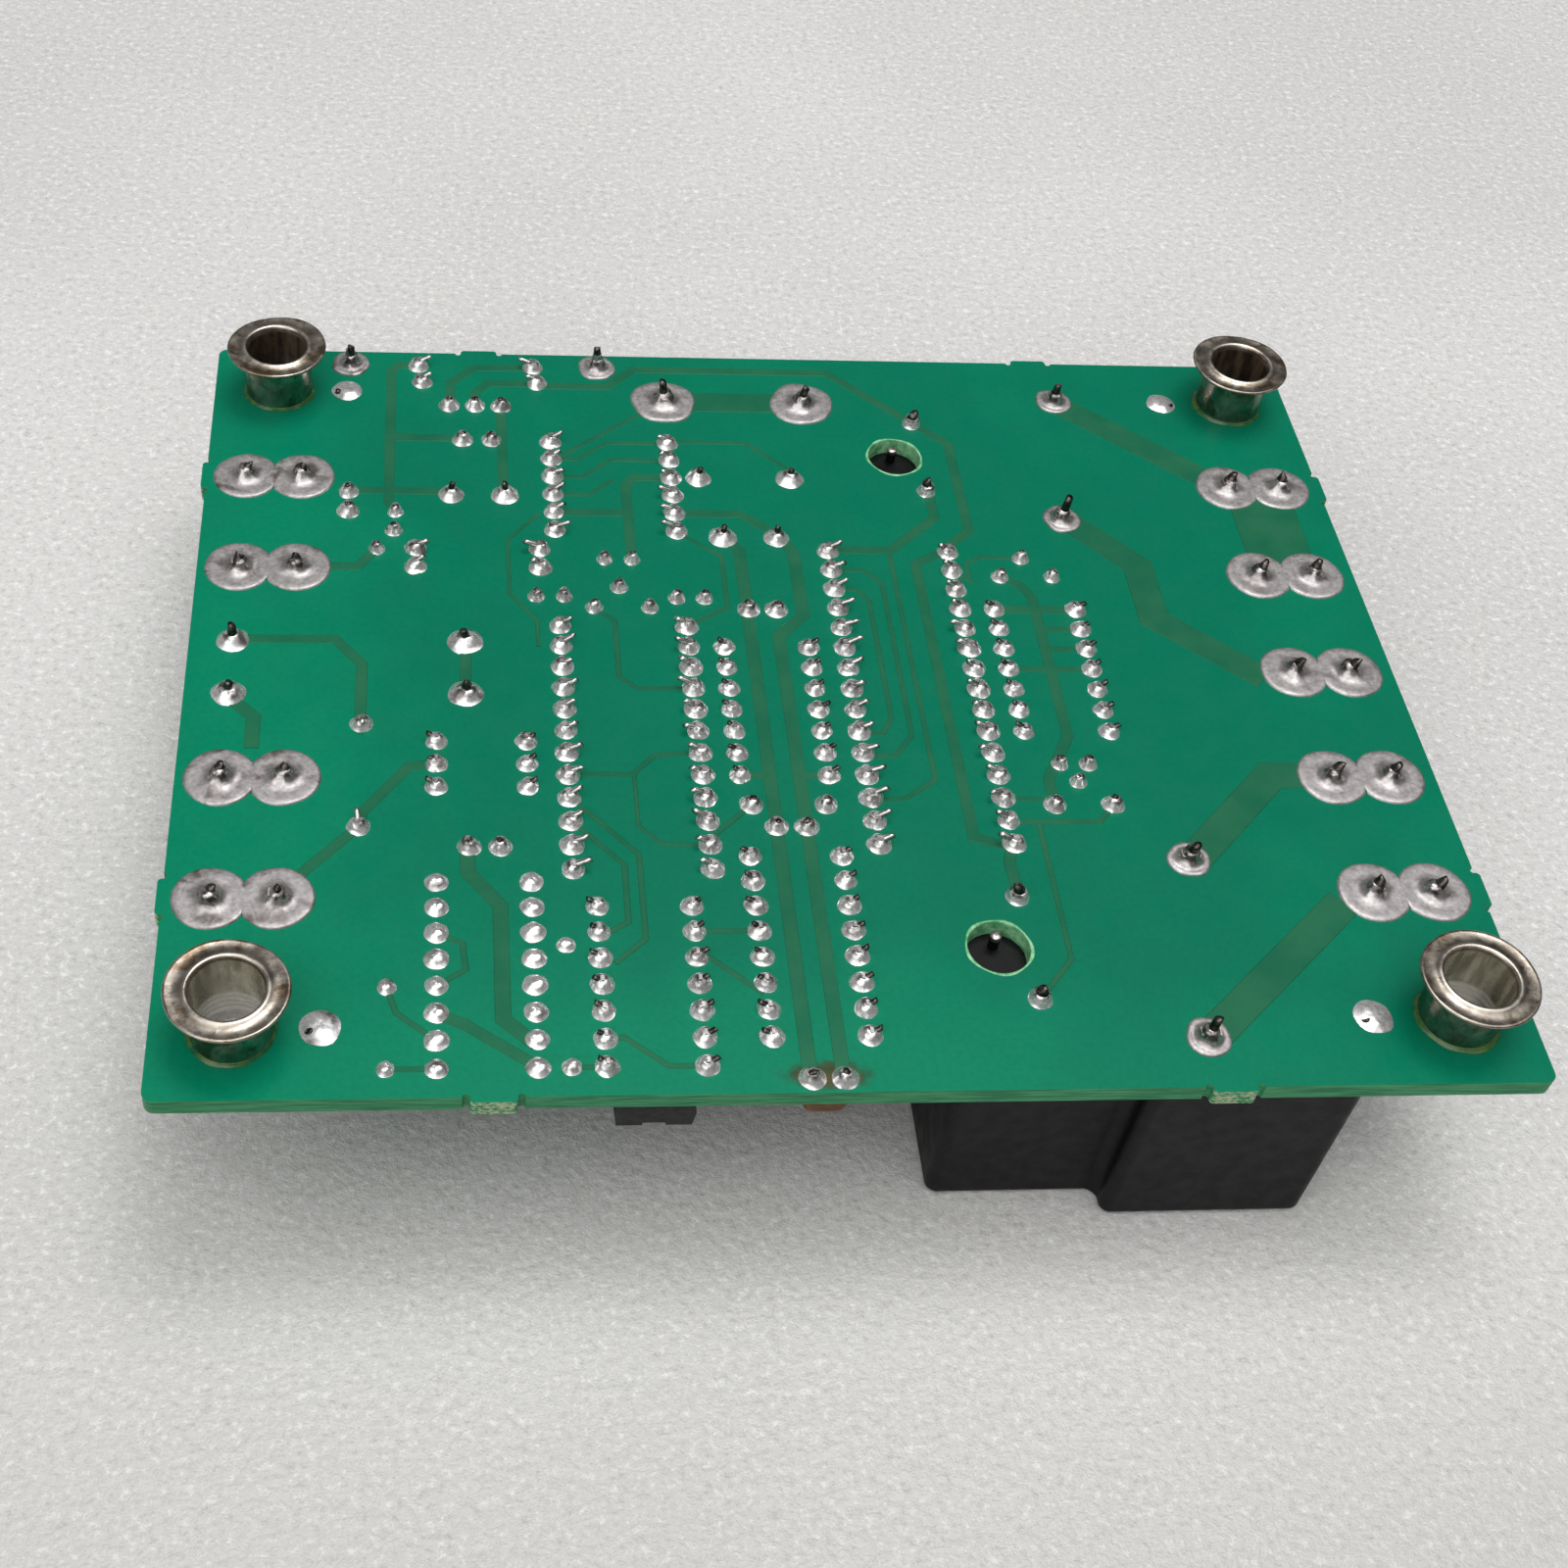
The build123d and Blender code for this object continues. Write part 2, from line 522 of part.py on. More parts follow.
RESISTOR_Z = COMPONENT_SIDE - RESISTOR_RADIUS - RESISTOR_STAND_OFF
resistor_body = make_axial_body(RESISTOR_LENGTH, RESISTOR_RADIUS, RESISTOR_WAIST, RESISTOR_CAP)
resistor_leads = make_axial_leads(RESISTOR_LENGTH, RESISTOR_SPAN * GRID, THIN_LEAD, RESISTOR_Z,
                                  LEAD_BEND)
banks = {"centre": bank_rows(CENTRE_BANK), "back": bank_rows(BACK_BANK),
         "right": bank_rows(RIGHT_BANK), "loose": LOOSE_RESISTORS}
upright_centre = spot(UPRIGHT_ROW_RESISTOR[0], UPRIGHT_ROW_RESISTOR[1] + RESISTOR_SPAN / 2)
for name, starts in banks.items():
    centres = resistor_centres(starts)
    with BuildPart() as bodies:
        with Locations(*at_height(centres, RESISTOR_Z)):
            add(resistor_body.part)
        if name == "loose":
            with Locations(Location((*upright_centre, RESISTOR_Z), (0, 0, 90))):
                add(resistor_body.part)
    save(bodies, f"{name}_resistors")
    with BuildPart() as leads:
        with Locations(*at_height(centres, 0)):
            add(resistor_leads.part)
        if name == "loose":
            with Locations(Location((*upright_centre, 0), (0, 0, 90))):
                add(resistor_leads.part)
    save(leads, f"{name}_resistor_leads")

POWER_Z = COMPONENT_SIDE - POWER_RADIUS - POWER_STAND_OFF
power_centres = [spot(column + POWER_SPAN / 2, row) for column, row in POWER_RESISTORS]
power_body = make_axial_body(POWER_LENGTH, POWER_RADIUS, POWER_WAIST, POWER_CAP)
power_lead_pair = make_axial_leads(POWER_LENGTH, POWER_SPAN * GRID, STOUT_LEAD, POWER_Z,
                                   2 * LEAD_BEND)
with BuildPart() as power_resistors:
    with Locations(*at_height(power_centres, POWER_Z)):
        add(power_body.part)
save(power_resistors, "power_resistors")
with BuildPart() as power_resistor_leads:
    with Locations(*at_height(power_centres, 0)):
        add(power_lead_pair.part)
save(power_resistor_leads, "power_resistor_leads")


# ---------------------------------------------------------------- electrolytic capacitors
def make_can(radius, height, plane):
    """A crimped can that runs along its plane's normal from the plane's origin."""
    with BuildPart() as can:
        with BuildSketch(Plane(origin=plane.origin, x_dir=plane.x_dir, z_dir=-plane.y_dir)):
            with BuildLine():
                Polyline((0, 0), (radius - CAN_EDGE, 0))
                RadiusArc((radius - CAN_EDGE, 0), (radius, CAN_EDGE), -CAN_EDGE)
                Polyline((radius, CAN_EDGE), (radius, CAN_GROOVE_END - 2 * CAN_GROOVE))
                RadiusArc((radius, CAN_GROOVE_END - 2 * CAN_GROOVE), (radius, CAN_GROOVE_END),
                          1.1 * CAN_GROOVE)
                Polyline((radius, CAN_GROOVE_END), (radius, height - CAN_EDGE))
                RadiusArc((radius, height - CAN_EDGE), (radius - CAN_EDGE, height), -CAN_EDGE)
                Polyline((radius - CAN_EDGE, height), (0, height), (0, 0))
            make_face()
        revolve(axis=Axis(plane.origin, plane.z_dir))
    return can


BUNG_TOP = COMPONENT_SIDE - BUNG_STAND_OFF
CAN_TOP = BUNG_TOP - BUNG_THICKNESS
for name, (column, row) in UPRIGHT_CANS.items():
    x, y = spot(column + CAN_PITCH / 2, row)
    down = Plane(origin=(x, y, CAN_TOP), x_dir=(1, 0, 0), z_dir=(0, 0, -1))
    save(make_can(CAN_RADIUS, CAN_HEIGHT, down), name)

LYING_Z = COMPONENT_SIDE - LYING_RADIUS - LYING_STAND_OFF
lying_x = (LYING_PADS[0][0] + LYING_PADS[1][0]) / 2
towards_back = Plane(origin=(lying_x, LYING_FRONT, LYING_Z), x_dir=(1, 0, 0), z_dir=(0, 1, 0))
save(make_can(LYING_RADIUS, LYING_LENGTH, towards_back), "lying_capacitor")

with BuildPart() as capacitor_bungs:
    can_axes = [spot(column + CAN_PITCH / 2, row) for column, row in UPRIGHT_CANS.values()]
    with Locations(*at_height(can_axes, CAN_TOP)):
        Cylinder(CAN_RADIUS - BUNG_INSET, BUNG_THICKNESS,
                 align=(Align.CENTER, Align.CENTER, Align.MIN))
    with BuildSketch(Plane(origin=(lying_x, LYING_FRONT, LYING_Z), z_dir=(0, -1, 0))):
        Circle(LYING_RADIUS - BUNG_INSET)
    extrude(amount=BUNG_THICKNESS)
save(capacitor_bungs, "capacitor_bungs")

with BuildPart() as capacitor_leads:
    with Locations(*at_height(CAN_PADS, BUNG_TOP)):
        Cylinder(THIN_LEAD, LEAD_TOP - BUNG_TOP, align=(Align.CENTER, Align.CENTER, Align.MIN))
    for pad_x, pad_y in LYING_PADS:
        side = 1 if pad_x > lying_x else -1
        with BuildLine() as path:
            FilletPolyline((lying_x + side * GRID, LYING_FRONT - BUNG_THICKNESS, LYING_Z),
                           (lying_x + side * GRID, LYING_FRONT - 2 * BUNG_THICKNESS, LYING_Z),
                           (pad_x, pad_y, LYING_Z), (pad_x, pad_y, LEAD_TOP),
                           radius=CAN_LEAD_BEND)
        with BuildSketch(Plane(origin=path.line @ 0, z_dir=path.line % 0)):
            Circle(THIN_LEAD)
        sweep(path=path.line)
save(capacitor_leads, "capacitor_leads")

STRAP_RADIUS = (STRAP_PADS[1][0] - STRAP_PADS[0][0]) / 2
strap_x = (STRAP_PADS[0][0] + STRAP_PADS[1][0]) / 2
with BuildPart() as capacitor_strap:
    with BuildSketch(Plane(origin=(strap_x, STRAP_PADS[0][1], 0), x_dir=(1, 0, 0),
                           z_dir=(0, -1, 0))):
        with Locations((0, LYING_Z)):
            Circle(STRAP_RADIUS + STRAP_THICKNESS / 2)
            Rectangle(2 * STRAP_RADIUS + STRAP_THICKNESS, COMPONENT_SIDE - LYING_Z,
                      align=(Align.CENTER, Align.MIN))
            Circle(STRAP_RADIUS - STRAP_THICKNESS / 2, mode=Mode.SUBTRACT)
            Rectangle(2 * STRAP_RADIUS - STRAP_THICKNESS, 2 * STRAP_RADIUS,
                      align=(Align.CENTER, Align.MIN), mode=Mode.SUBTRACT)
    extrude(amount=STRAP_WIDTH / 2, both=True)
    with Locations(*at_height(STRAP_PADS, COMPONENT_SIDE)):
        Box(STRAP_THICKNESS, TERMINAL_FOOT_WIDTH, LEAD_TOP - COMPONENT_SIDE,
            align=(Align.CENTER, Align.CENTER, Align.MIN))
save(capacitor_strap, "capacitor_strap")


# ---------------------------------------------------------------- disc capacitors
def disc_centre_z(pitch):
    """Height of a capacitor body's middle, where its leads start."""
    if pitch < DIPPED_PITCH:
        return COMPONENT_SIDE - DIPPED_STAND_OFF - DIPPED_HEIGHT / 2
    return COMPONENT_SIDE - DISC_STAND_OFF - pitch * GRID / 2 - DISC_MARGIN


disc_places = [(spot(column + pitch / 2, row), pitch, (0, 1, 0))
               for column, row, pitch in DISCS_ALONG_X]
disc_places.append((spot(DISC_ALONG_Y[0], DISC_ALONG_Y[1] + DISC_ALONG_Y[2] / 2),
                    DISC_ALONG_Y[2], (1, 0, 0)))
disc_lead_starts = [(*pad, disc_centre_z(pitch)) for n, (_, pitch, _) in enumerate(disc_places)
                    for pad in DISC_PADS[2 * n:2 * n + 2]]
with BuildPart() as disc_capacitors:
    for (x, y), pitch, normal in disc_places:
        along = (normal[1], normal[0], 0)
        with BuildSketch(Plane(origin=(x, y, disc_centre_z(pitch)), x_dir=along, z_dir=normal)):
            if pitch < DIPPED_PITCH:
                RectangleRounded(DIPPED_LENGTH, DIPPED_HEIGHT, DIPPED_ROUND)
            else:
                Circle(pitch * GRID / 2 + DISC_MARGIN)
        extrude(amount=DISC_THICKNESS / 2, both=True)
    flat_faces = disc_capacitors.faces().filter_by(
        lambda face: face.geom_type == GeomType.PLANE and face.area > DIPPED_LENGTH)
    fillet([edge for face in flat_faces for edge in face.edges()], DISC_THICKNESS / 3)
    with Locations(*disc_lead_starts):
        Cylinder(THIN_LEAD, COMPONENT_SIDE, align=(Align.CENTER, Align.CENTER, Align.MIN),
                 mode=Mode.SUBTRACT)
save(disc_capacitors, "disc_capacitors")

with BuildPart() as disc_capacitor_leads:
    for x, y, low in disc_lead_starts:
        with Locations((x, y, low)):
            Cylinder(THIN_LEAD, LEAD_TOP - low, align=(Align.CENTER, Align.CENTER, Align.MIN))
save(disc_capacitor_leads, "disc_capacitor_leads")


# ---------------------------------------------------------------- small transistors
def turn_of(pads):
    """A transistor whose pads run towards the back edge is turned a quarter."""
    return 90 if abs(pads[2][1] - pads[0][1]) > abs(pads[2][0] - pads[0][0]) else 0


with BuildPart() as transistor_body:
    with BuildSketch(Plane.XY.offset(TRANSISTOR_TOP)):
        Circle(TRANSISTOR_RADIUS)
        with Locations((0, -TRANSISTOR_FLAT)):
            Rectangle(3 * TRANSISTOR_RADIUS, 2 * TRANSISTOR_RADIUS,
                      align=(Align.CENTER, Align.MAX), mode=Mode.SUBTRACT)
    extrude(amount=-TRANSISTOR_HEIGHT)

with BuildPart() as transistors:
    with Locations(*[Location((*spot(*centre), 0), (0, 0, turn_of(pads)))
                     for centre, pads in TRANSISTORS]):
        add(transistor_body.part)
save(transistors, "transistors")

with BuildPart() as transistor_leads:
    for centre, pads in TRANSISTORS:
        x, y = spot(*centre)
        across = turn_of(pads) == 0
        for place, pad in zip((-TRANSISTOR_PITCH, 0, TRANSISTOR_PITCH), pads):
            start = (x + place, y) if across else (x, y + place)
            with BuildLine() as path:
                FilletPolyline((*start, TRANSISTOR_TOP),
                               (*start, TRANSISTOR_TOP + TRANSISTOR_LEAD_STUB),
                               (*spot(*pad), COMPONENT_SIDE - TRANSISTOR_LEAD_STUB),
                               (*spot(*pad), LEAD_TOP), radius=TRANSISTOR_LEAD_BEND)
            with BuildSketch(Plane(origin=path.line @ 0, z_dir=path.line % 0)):
                Circle(FINE_LEAD)
            sweep(path=path.line)
save(transistor_leads, "transistor_leads")


# ---------------------------------------------------------------- regulator and heatsink
REGULATOR_X, REGULATOR_Y = spot(*REGULATOR)
PLATE_BACK = REGULATOR_Y - TAB_TO_LEADS
PLATE_FRONT = PLATE_BACK - HEATSINK_THICKNESS
TAB_FRONT = PLATE_BACK + TAB_THICKNESS
MIN_EVERY = (Align.CENTER, Align.MIN, Align.MIN)

with BuildPart() as regulator_body:
    with Locations((REGULATOR_X, TAB_FRONT, REGULATOR_TOP - REGULATOR_BODY)):
        Box(REGULATOR_WIDTH, REGULATOR_DEPTH, REGULATOR_BODY, align=MIN_EVERY)
    chamfer(regulator_body.faces().sort_by(Axis.Y)[-1].edges(), REGULATOR_CHAMFER)
save(regulator_body, "regulator_body")

with BuildPart() as regulator_tab:
    with Locations((REGULATOR_X, PLATE_BACK, TAB_BOTTOM)):
        Box(REGULATOR_WIDTH, TAB_THICKNESS, REGULATOR_TOP - TAB_BOTTOM, align=MIN_EVERY)
    with BuildSketch(Plane(origin=(REGULATOR_X, PLATE_BACK, TAB_HOLE_Z), z_dir=(0, 1, 0))):
        Circle(TAB_HOLE_RADIUS)
    extrude(amount=TAB_THICKNESS, mode=Mode.SUBTRACT)
    with Locations(*at_height(REGULATOR_PADS, REGULATOR_TOP)):
        Cylinder(REGULATOR_LEAD, LEAD_TOP - REGULATOR_TOP,
                 align=(Align.CENTER, Align.CENTER, Align.MIN))
save(regulator_tab, "regulator_tab")

with BuildPart() as heatsink:
    left_x = HEATSINK_PADS[0][0] - HEATSINK_THICKNESS / 2
    right_x = HEATSINK_PADS[1][0] + HEATSINK_THICKNESS / 2
    with BuildSketch(Plane.XY):
        with Locations((left_x, PLATE_FRONT)):
            Rectangle(right_x - left_x, HEATSINK_BACK - PLATE_FRONT, align=(Align.MIN, Align.MIN))
        with Locations((left_x + HEATSINK_THICKNESS, PLATE_BACK)):
            Rectangle(right_x - left_x - 2 * HEATSINK_THICKNESS, HEATSINK_BACK - PLATE_BACK,
                      align=(Align.MIN, Align.MIN), mode=Mode.SUBTRACT)
    extrude(amount=HEATSINK_TOP)
    with BuildSketch(Plane(origin=(REGULATOR_X, PLATE_FRONT, TAB_HOLE_Z), z_dir=(0, 1, 0))):
        Circle(SCREW_RADIUS + HOLE_CLEARANCE)
    extrude(amount=HEATSINK_THICKNESS, mode=Mode.SUBTRACT)
    with Locations(*at_height(HEATSINK_PADS, HEATSINK_TOP)):
        Cylinder(HEATSINK_PIN, LEAD_TOP + TIP_HEIGHT - HEATSINK_TOP,
                 align=(Align.CENTER, Align.CENTER, Align.MIN))
save(heatsink, "heatsink")

with BuildPart() as heatsink_screw:
    shank_start = PLATE_FRONT - NUT_THICKNESS - SCREW_END
    with BuildSketch(Plane(origin=(REGULATOR_X, shank_start, TAB_HOLE_Z), z_dir=(0, 1, 0))):
        Circle(SCREW_RADIUS)
    extrude(amount=TAB_FRONT - shank_start)
    with BuildSketch(Plane(origin=(REGULATOR_X, TAB_FRONT, TAB_HOLE_Z), z_dir=(0, 1, 0))):
        Circle(SCREW_HEAD_RADIUS)
    extrude(amount=SCREW_HEAD_HEIGHT)
    fillet(heatsink_screw.faces().sort_by(Axis.Y)[-1].edges(), SCREW_HEAD_HEIGHT / 3)
    head_face = TAB_FRONT + SCREW_HEAD_HEIGHT
    with BuildSketch(Plane(origin=(REGULATOR_X, head_face, TAB_HOLE_Z), z_dir=(0, -1, 0))):
        Rectangle(2 * SCREW_HEAD_RADIUS, SCREW_SLOT_WIDTH)
    extrude(amount=SCREW_HEAD_HEIGHT / 2, mode=Mode.SUBTRACT)
save(heatsink_screw, "heatsink_screw")

with BuildPart() as heatsink_nut:
    with BuildSketch(Plane(origin=(REGULATOR_X, PLATE_FRONT, TAB_HOLE_Z), z_dir=(0, -1, 0))):
        RegularPolygon(NUT_FLAT_RADIUS, 6, major_radius=False)
        Circle(SCREW_RADIUS, mode=Mode.SUBTRACT)
    extrude(amount=NUT_THICKNESS)
save(heatsink_nut, "heatsink_nut")


# ---------------------------------------------------------------- solder joints
def add_joints(spots, joint, lead_radius=0):
    """Conical fillets on the solder side, bored for a round lead."""
    pad_radius, height = joint
    with Locations(*at_height(spots, SOLDER_SIDE)):
        Cone(pad_radius, lead_radius + SLEEVE, height,
             align=(Align.CENTER, Align.CENTER, Align.MIN))
        if lead_radius:
            Cylinder(lead_radius, height, align=(Align.CENTER, Align.CENTER, Align.MIN),
                     mode=Mode.SUBTRACT)


def add_flat_joints(spots, joint, width, depth):
    """Conical fillets bored for a flat pin, width along X and depth along Y."""
    pad_radius, height = joint
    with Locations(*at_height(spots, SOLDER_SIDE)):
        Cone(pad_radius, max(width, depth) / 2 + SLEEVE, height,
             align=(Align.CENTER, Align.CENTER, Align.MIN))
        Box(width, depth, height, align=(Align.CENTER, Align.CENTER, Align.MIN),
            mode=Mode.SUBTRACT)


with BuildPart() as chip_solder:
    add_flat_joints(CHIP_PADS, CHIP_JOINT, PIN_THICKNESS, PIN_WIDTH)
save(chip_solder, "chip_solder")

with BuildPart() as lead_solder:
    add_joints(RESISTOR_PADS + DISC_PADS, LEAD_JOINT, THIN_LEAD)
    add_joints(TRANSISTOR_PADS, TRANSISTOR_JOINT, FINE_LEAD)
    add_joints(CAN_PADS + LYING_PADS, CAPACITOR_JOINT, THIN_LEAD)
    add_joints(POWER_PADS, POWER_JOINT, STOUT_LEAD)
    add_joints(REGULATOR_PADS, REGULATOR_JOINT, REGULATOR_LEAD)
    add_joints(COIL_PADS, COIL_JOINT, COIL_PIN)
    add_joints(TEST_POINTS, TEST_POINT_DOME)
    add_joints(SPARE_PINS, SPARE_PIN_DOME)
    add_joints(FILLED_HOLES, FILLED_HOLE_DOME)
save(lead_solder, "lead_solder")

with BuildPart() as terminal_solder:
    add_flat_joints(BLADE_PADS, BLADE_JOINT, BLADE_LEG_WIDTH, BLADE_THICKNESS)
    add_flat_joints(COMMON_PADS + FIXED_PADS, RELAY_JOINT, TERMINAL_FOOT_WIDTH,
                    TERMINAL_THICKNESS)
    add_flat_joints(STRAP_PADS, STRAP_JOINT, STRAP_THICKNESS, TERMINAL_FOOT_WIDTH)
    add_joints(HEATSINK_PADS, HEATSINK_JOINT, HEATSINK_PIN)
save(terminal_solder, "terminal_solder")


# ---------------------------------------------------------------- relays
def relay_outline(y, inset):
    """The stepped plan of a relay: its case at no inset, the space inside at one wall."""
    with Locations((RELAY_STEP + inset, y)):
        Rectangle(RELAY_RIGHT - RELAY_STEP - 2 * inset, 2 * (RELAY_HALF_WIDTH - inset),
                  align=(Align.MIN, Align.CENTER))
    with Locations((RELAY_LEFT + inset, y - COIL_END_FRONT + inset)):
        Rectangle(RELAY_STEP - RELAY_LEFT + inset, COIL_END_FRONT + COIL_END_BACK - 2 * inset,
                  align=(Align.MIN, Align.MIN))


def make_case(y):
    with BuildPart() as case:
        with BuildSketch(Plane.XY):
            relay_outline(y, 0)
        extrude(amount=COMPONENT_SIDE)
        fillet(case.edges().filter_by(Axis.Z), CASE_ROUND)
        fillet(case.faces().sort_by(Axis.Z)[0].edges(), CASE_EDGE)
        with BuildSketch(Plane.XY.offset(CASE_WALL)):
            relay_outline(y, CASE_WALL)
        extrude(amount=COMPONENT_SIDE - CASE_WALL, mode=Mode.SUBTRACT)
    return case


def make_base(y):
    with BuildPart() as base:
        with BuildSketch(Plane.XY.offset(COMPONENT_SIDE - BASE_THICKNESS)):
            relay_outline(y, CASE_WALL)
            with Locations(*[(COIL_PIN_X, y + side * COIL_PIN_PITCH / 2) for side in (-1, 1)]):
                Circle(COIL_PIN + SEAT_CLEARANCE, mode=Mode.SUBTRACT)
            with Locations((COMMON_TERMINAL_X, y + TERMINAL_OFFSET),
                           (FIXED_TERMINAL_X, y - TERMINAL_OFFSET)):
                Rectangle(TERMINAL_FOOT_WIDTH + 2 * SEAT_CLEARANCE,
                          TERMINAL_THICKNESS + 2 * SEAT_CLEARANCE, mode=Mode.SUBTRACT)
        extrude(amount=BASE_THICKNESS)
        with Locations((VENT_X, y + VENT_PEG_BACK, COMPONENT_SIDE)):
            Cylinder(VENT_PEG_RADIUS, VENT_PEG_HEIGHT,
                     align=(Align.CENTER, Align.CENTER, Align.MIN))
    return base


def make_bobbin(y):
    with BuildPart() as bobbin:
        with Locations((COIL_X, y, FLANGE_LOW_Z), (COIL_X, y, FLANGE_HIGH_Z)):
            Box(FLANGE_LENGTH, FLANGE_WIDTH, FLANGE_THICKNESS,
                align=(Align.CENTER, Align.CENTER, Align.MIN))
        with Locations((COIL_X, y, FLANGE_LOW_Z)):
            Cylinder(BOBBIN_TUBE_RADIUS, FLANGE_HIGH_Z - FLANGE_LOW_Z,
                     align=(Align.CENTER, Align.CENTER, Align.MIN))
            Cylinder(CORE_RADIUS, FLANGE_HIGH_Z + FLANGE_THICKNESS - FLANGE_LOW_Z,
                     align=(Align.CENTER, Align.CENTER, Align.MIN), mode=Mode.SUBTRACT)
    return bobbin


def make_winding(y):
    low = FLANGE_LOW_Z + FLANGE_THICKNESS
    with BuildPart() as winding:
        with BuildSketch(Plane(origin=(COIL_X, y, low))):
            Circle(WINDING_RADIUS)
            Circle(BOBBIN_TUBE_RADIUS, mode=Mode.SUBTRACT)
        extrude(amount=FLANGE_HIGH_Z - low)
    return winding


def make_yoke(y):
    """The core and the bent frame that carries the armature's knife edge."""
    plate_z = FLANGE_HIGH_Z + FLANGE_THICKNESS
    plate_left = COIL_X - 2 * CORE_RADIUS
    with BuildPart() as yoke:
        with BuildSketch(Plane(origin=(0, y, 0), x_dir=(1, 0, 0), z_dir=(0, -1, 0))):
            with BuildLine():
                Polyline((plate_left, plate_z), (YOKE_LEG_X, plate_z), (YOKE_LEG_X, YOKE_END_Z),
                         (YOKE_LEG_X + YOKE_THICKNESS, YOKE_END_Z),
                         (YOKE_LEG_X + YOKE_THICKNESS, plate_z + YOKE_THICKNESS),
                         (plate_left, plate_z + YOKE_THICKNESS), close=True)
            make_face()
        extrude(amount=YOKE_HALF_WIDTH, both=True)
        with Locations((COIL_X, y, CORE_TIP_Z)):
            Cylinder(CORE_RADIUS, plate_z - CORE_TIP_Z,
                     align=(Align.CENTER, Align.CENTER, Align.MIN))
    return yoke


def make_armature(y):
    with BuildPart() as armature:
        with Locations((ARMATURE_LEFT, y, ARMATURE_TOP_Z)):
            Box(ARMATURE_RIGHT - ARMATURE_LEFT, 2 * ARMATURE_HALF_WIDTH, ARMATURE_THICKNESS,
                align=(Align.MIN, Align.CENTER, Align.MAX))
        fillet(armature.edges().filter_by(Axis.Z), ARMATURE_ROUND)
    return armature


SPRING_TOP_Z = ARMATURE_TOP_Z - ARMATURE_THICKNESS
MOVING_CONTACT_Z = SPRING_TOP_Z - SPRING_THICKNESS - CONTACT_HEIGHT
FIXED_CONTACT_Z = MOVING_CONTACT_Z - CONTACT_GAP


def make_contact_spring(y):
    """The leaf under the armature and the contact rivet at its free end."""
    with BuildPart() as spring:
        with Locations((SPRING_LEFT, y, SPRING_TOP_Z)):
            Box(CONTACT_X - SPRING_LEFT, 2 * SPRING_HALF_WIDTH, SPRING_THICKNESS,
                align=(Align.MIN, Align.CENTER, Align.MAX))
        with Locations((CONTACT_X, y, SPRING_TOP_Z)):
            Cylinder(SPRING_HALF_WIDTH, SPRING_THICKNESS,
                     align=(Align.CENTER, Align.CENTER, Align.MAX))
        with Locations((CONTACT_X, y, MOVING_CONTACT_Z)):
            Cylinder(CONTACT_RADIUS, CONTACT_HEIGHT,
                     align=(Align.CENTER, Align.CENTER, Align.MIN))
    return spring


def make_terminals(y):
    """The fixed contact's terminal, the common terminal and the two coil pins."""
    strip_low = CASE_WALL + FLOOR_GAP
    strip_top = COMPONENT_SIDE - BASE_THICKNESS
    half_strip = TERMINAL_STRIP_WIDTH / 2
    fixed_y = y - TERMINAL_OFFSET
    common_y = y + TERMINAL_OFFSET
    fixed_left = FIXED_TERMINAL_X - half_strip
    yoke_face = YOKE_LEG_X + YOKE_THICKNESS
    bar_front = y + COMMON_BAR_OFFSET
    corner = (Align.MIN, Align.MIN, Align.MIN)
    with BuildPart() as terminals:
        with Locations((fixed_left, fixed_y - TERMINAL_THICKNESS / 2, strip_low)):
            Box(CONTACT_X + FIXED_STRIP_OVERHANG - fixed_left, TERMINAL_OFFSET + CONTACT_RADIUS,
                FIXED_CONTACT_Z - CONTACT_HEIGHT / 2 - strip_low, align=corner)
            Box(TERMINAL_STRIP_WIDTH, TERMINAL_THICKNESS, strip_top - strip_low, align=corner)
        with Locations((CONTACT_X, y, FIXED_CONTACT_Z)):
            Cylinder(CONTACT_RADIUS, CONTACT_HEIGHT / 2,
                     align=(Align.CENTER, Align.CENTER, Align.MAX))
        with Locations((yoke_face, bar_front, COMMON_BAR_LOW_Z)):
            Box(COMMON_BAR_TURN_X + TERMINAL_THICKNESS - yoke_face, TERMINAL_THICKNESS,
                COMMON_BAR_HEIGHT, align=corner)
        with Locations((COMMON_BAR_TURN_X, bar_front, COMMON_BAR_LOW_Z)):
            Box(TERMINAL_THICKNESS, common_y + TERMINAL_THICKNESS / 2 - bar_front,
                COMMON_BAR_HEIGHT, align=corner)
        with Locations((COMMON_BAR_TURN_X, common_y - TERMINAL_THICKNESS / 2, COMMON_BAR_LOW_Z)):
            Box(COMMON_TERMINAL_X - COMMON_BAR_TURN_X, TERMINAL_THICKNESS, COMMON_BAR_HEIGHT,
                align=corner)
        with Locations((COMMON_TERMINAL_X - half_strip, common_y - TERMINAL_THICKNESS / 2,
                        COMMON_BAR_LOW_Z)):
            Box(TERMINAL_STRIP_WIDTH, TERMINAL_THICKNESS, strip_top - COMMON_BAR_LOW_Z,
                align=corner)
        with Locations((COMMON_TERMINAL_X, common_y, strip_top),
                       (FIXED_TERMINAL_X, fixed_y, strip_top)):
            Box(TERMINAL_FOOT_WIDTH, TERMINAL_THICKNESS, LEAD_TOP - strip_top,
                align=(Align.CENTER, Align.CENTER, Align.MIN))
        with Locations(*[(COIL_PIN_X, y + side * COIL_PIN_PITCH / 2,
                          FLANGE_HIGH_Z + FLANGE_THICKNESS) for side in (-1, 1)]):
            Cylinder(COIL_PIN, LEAD_TOP - FLANGE_HIGH_Z - FLANGE_THICKNESS,
                     align=(Align.CENTER, Align.CENTER, Align.MIN))
    return terminals


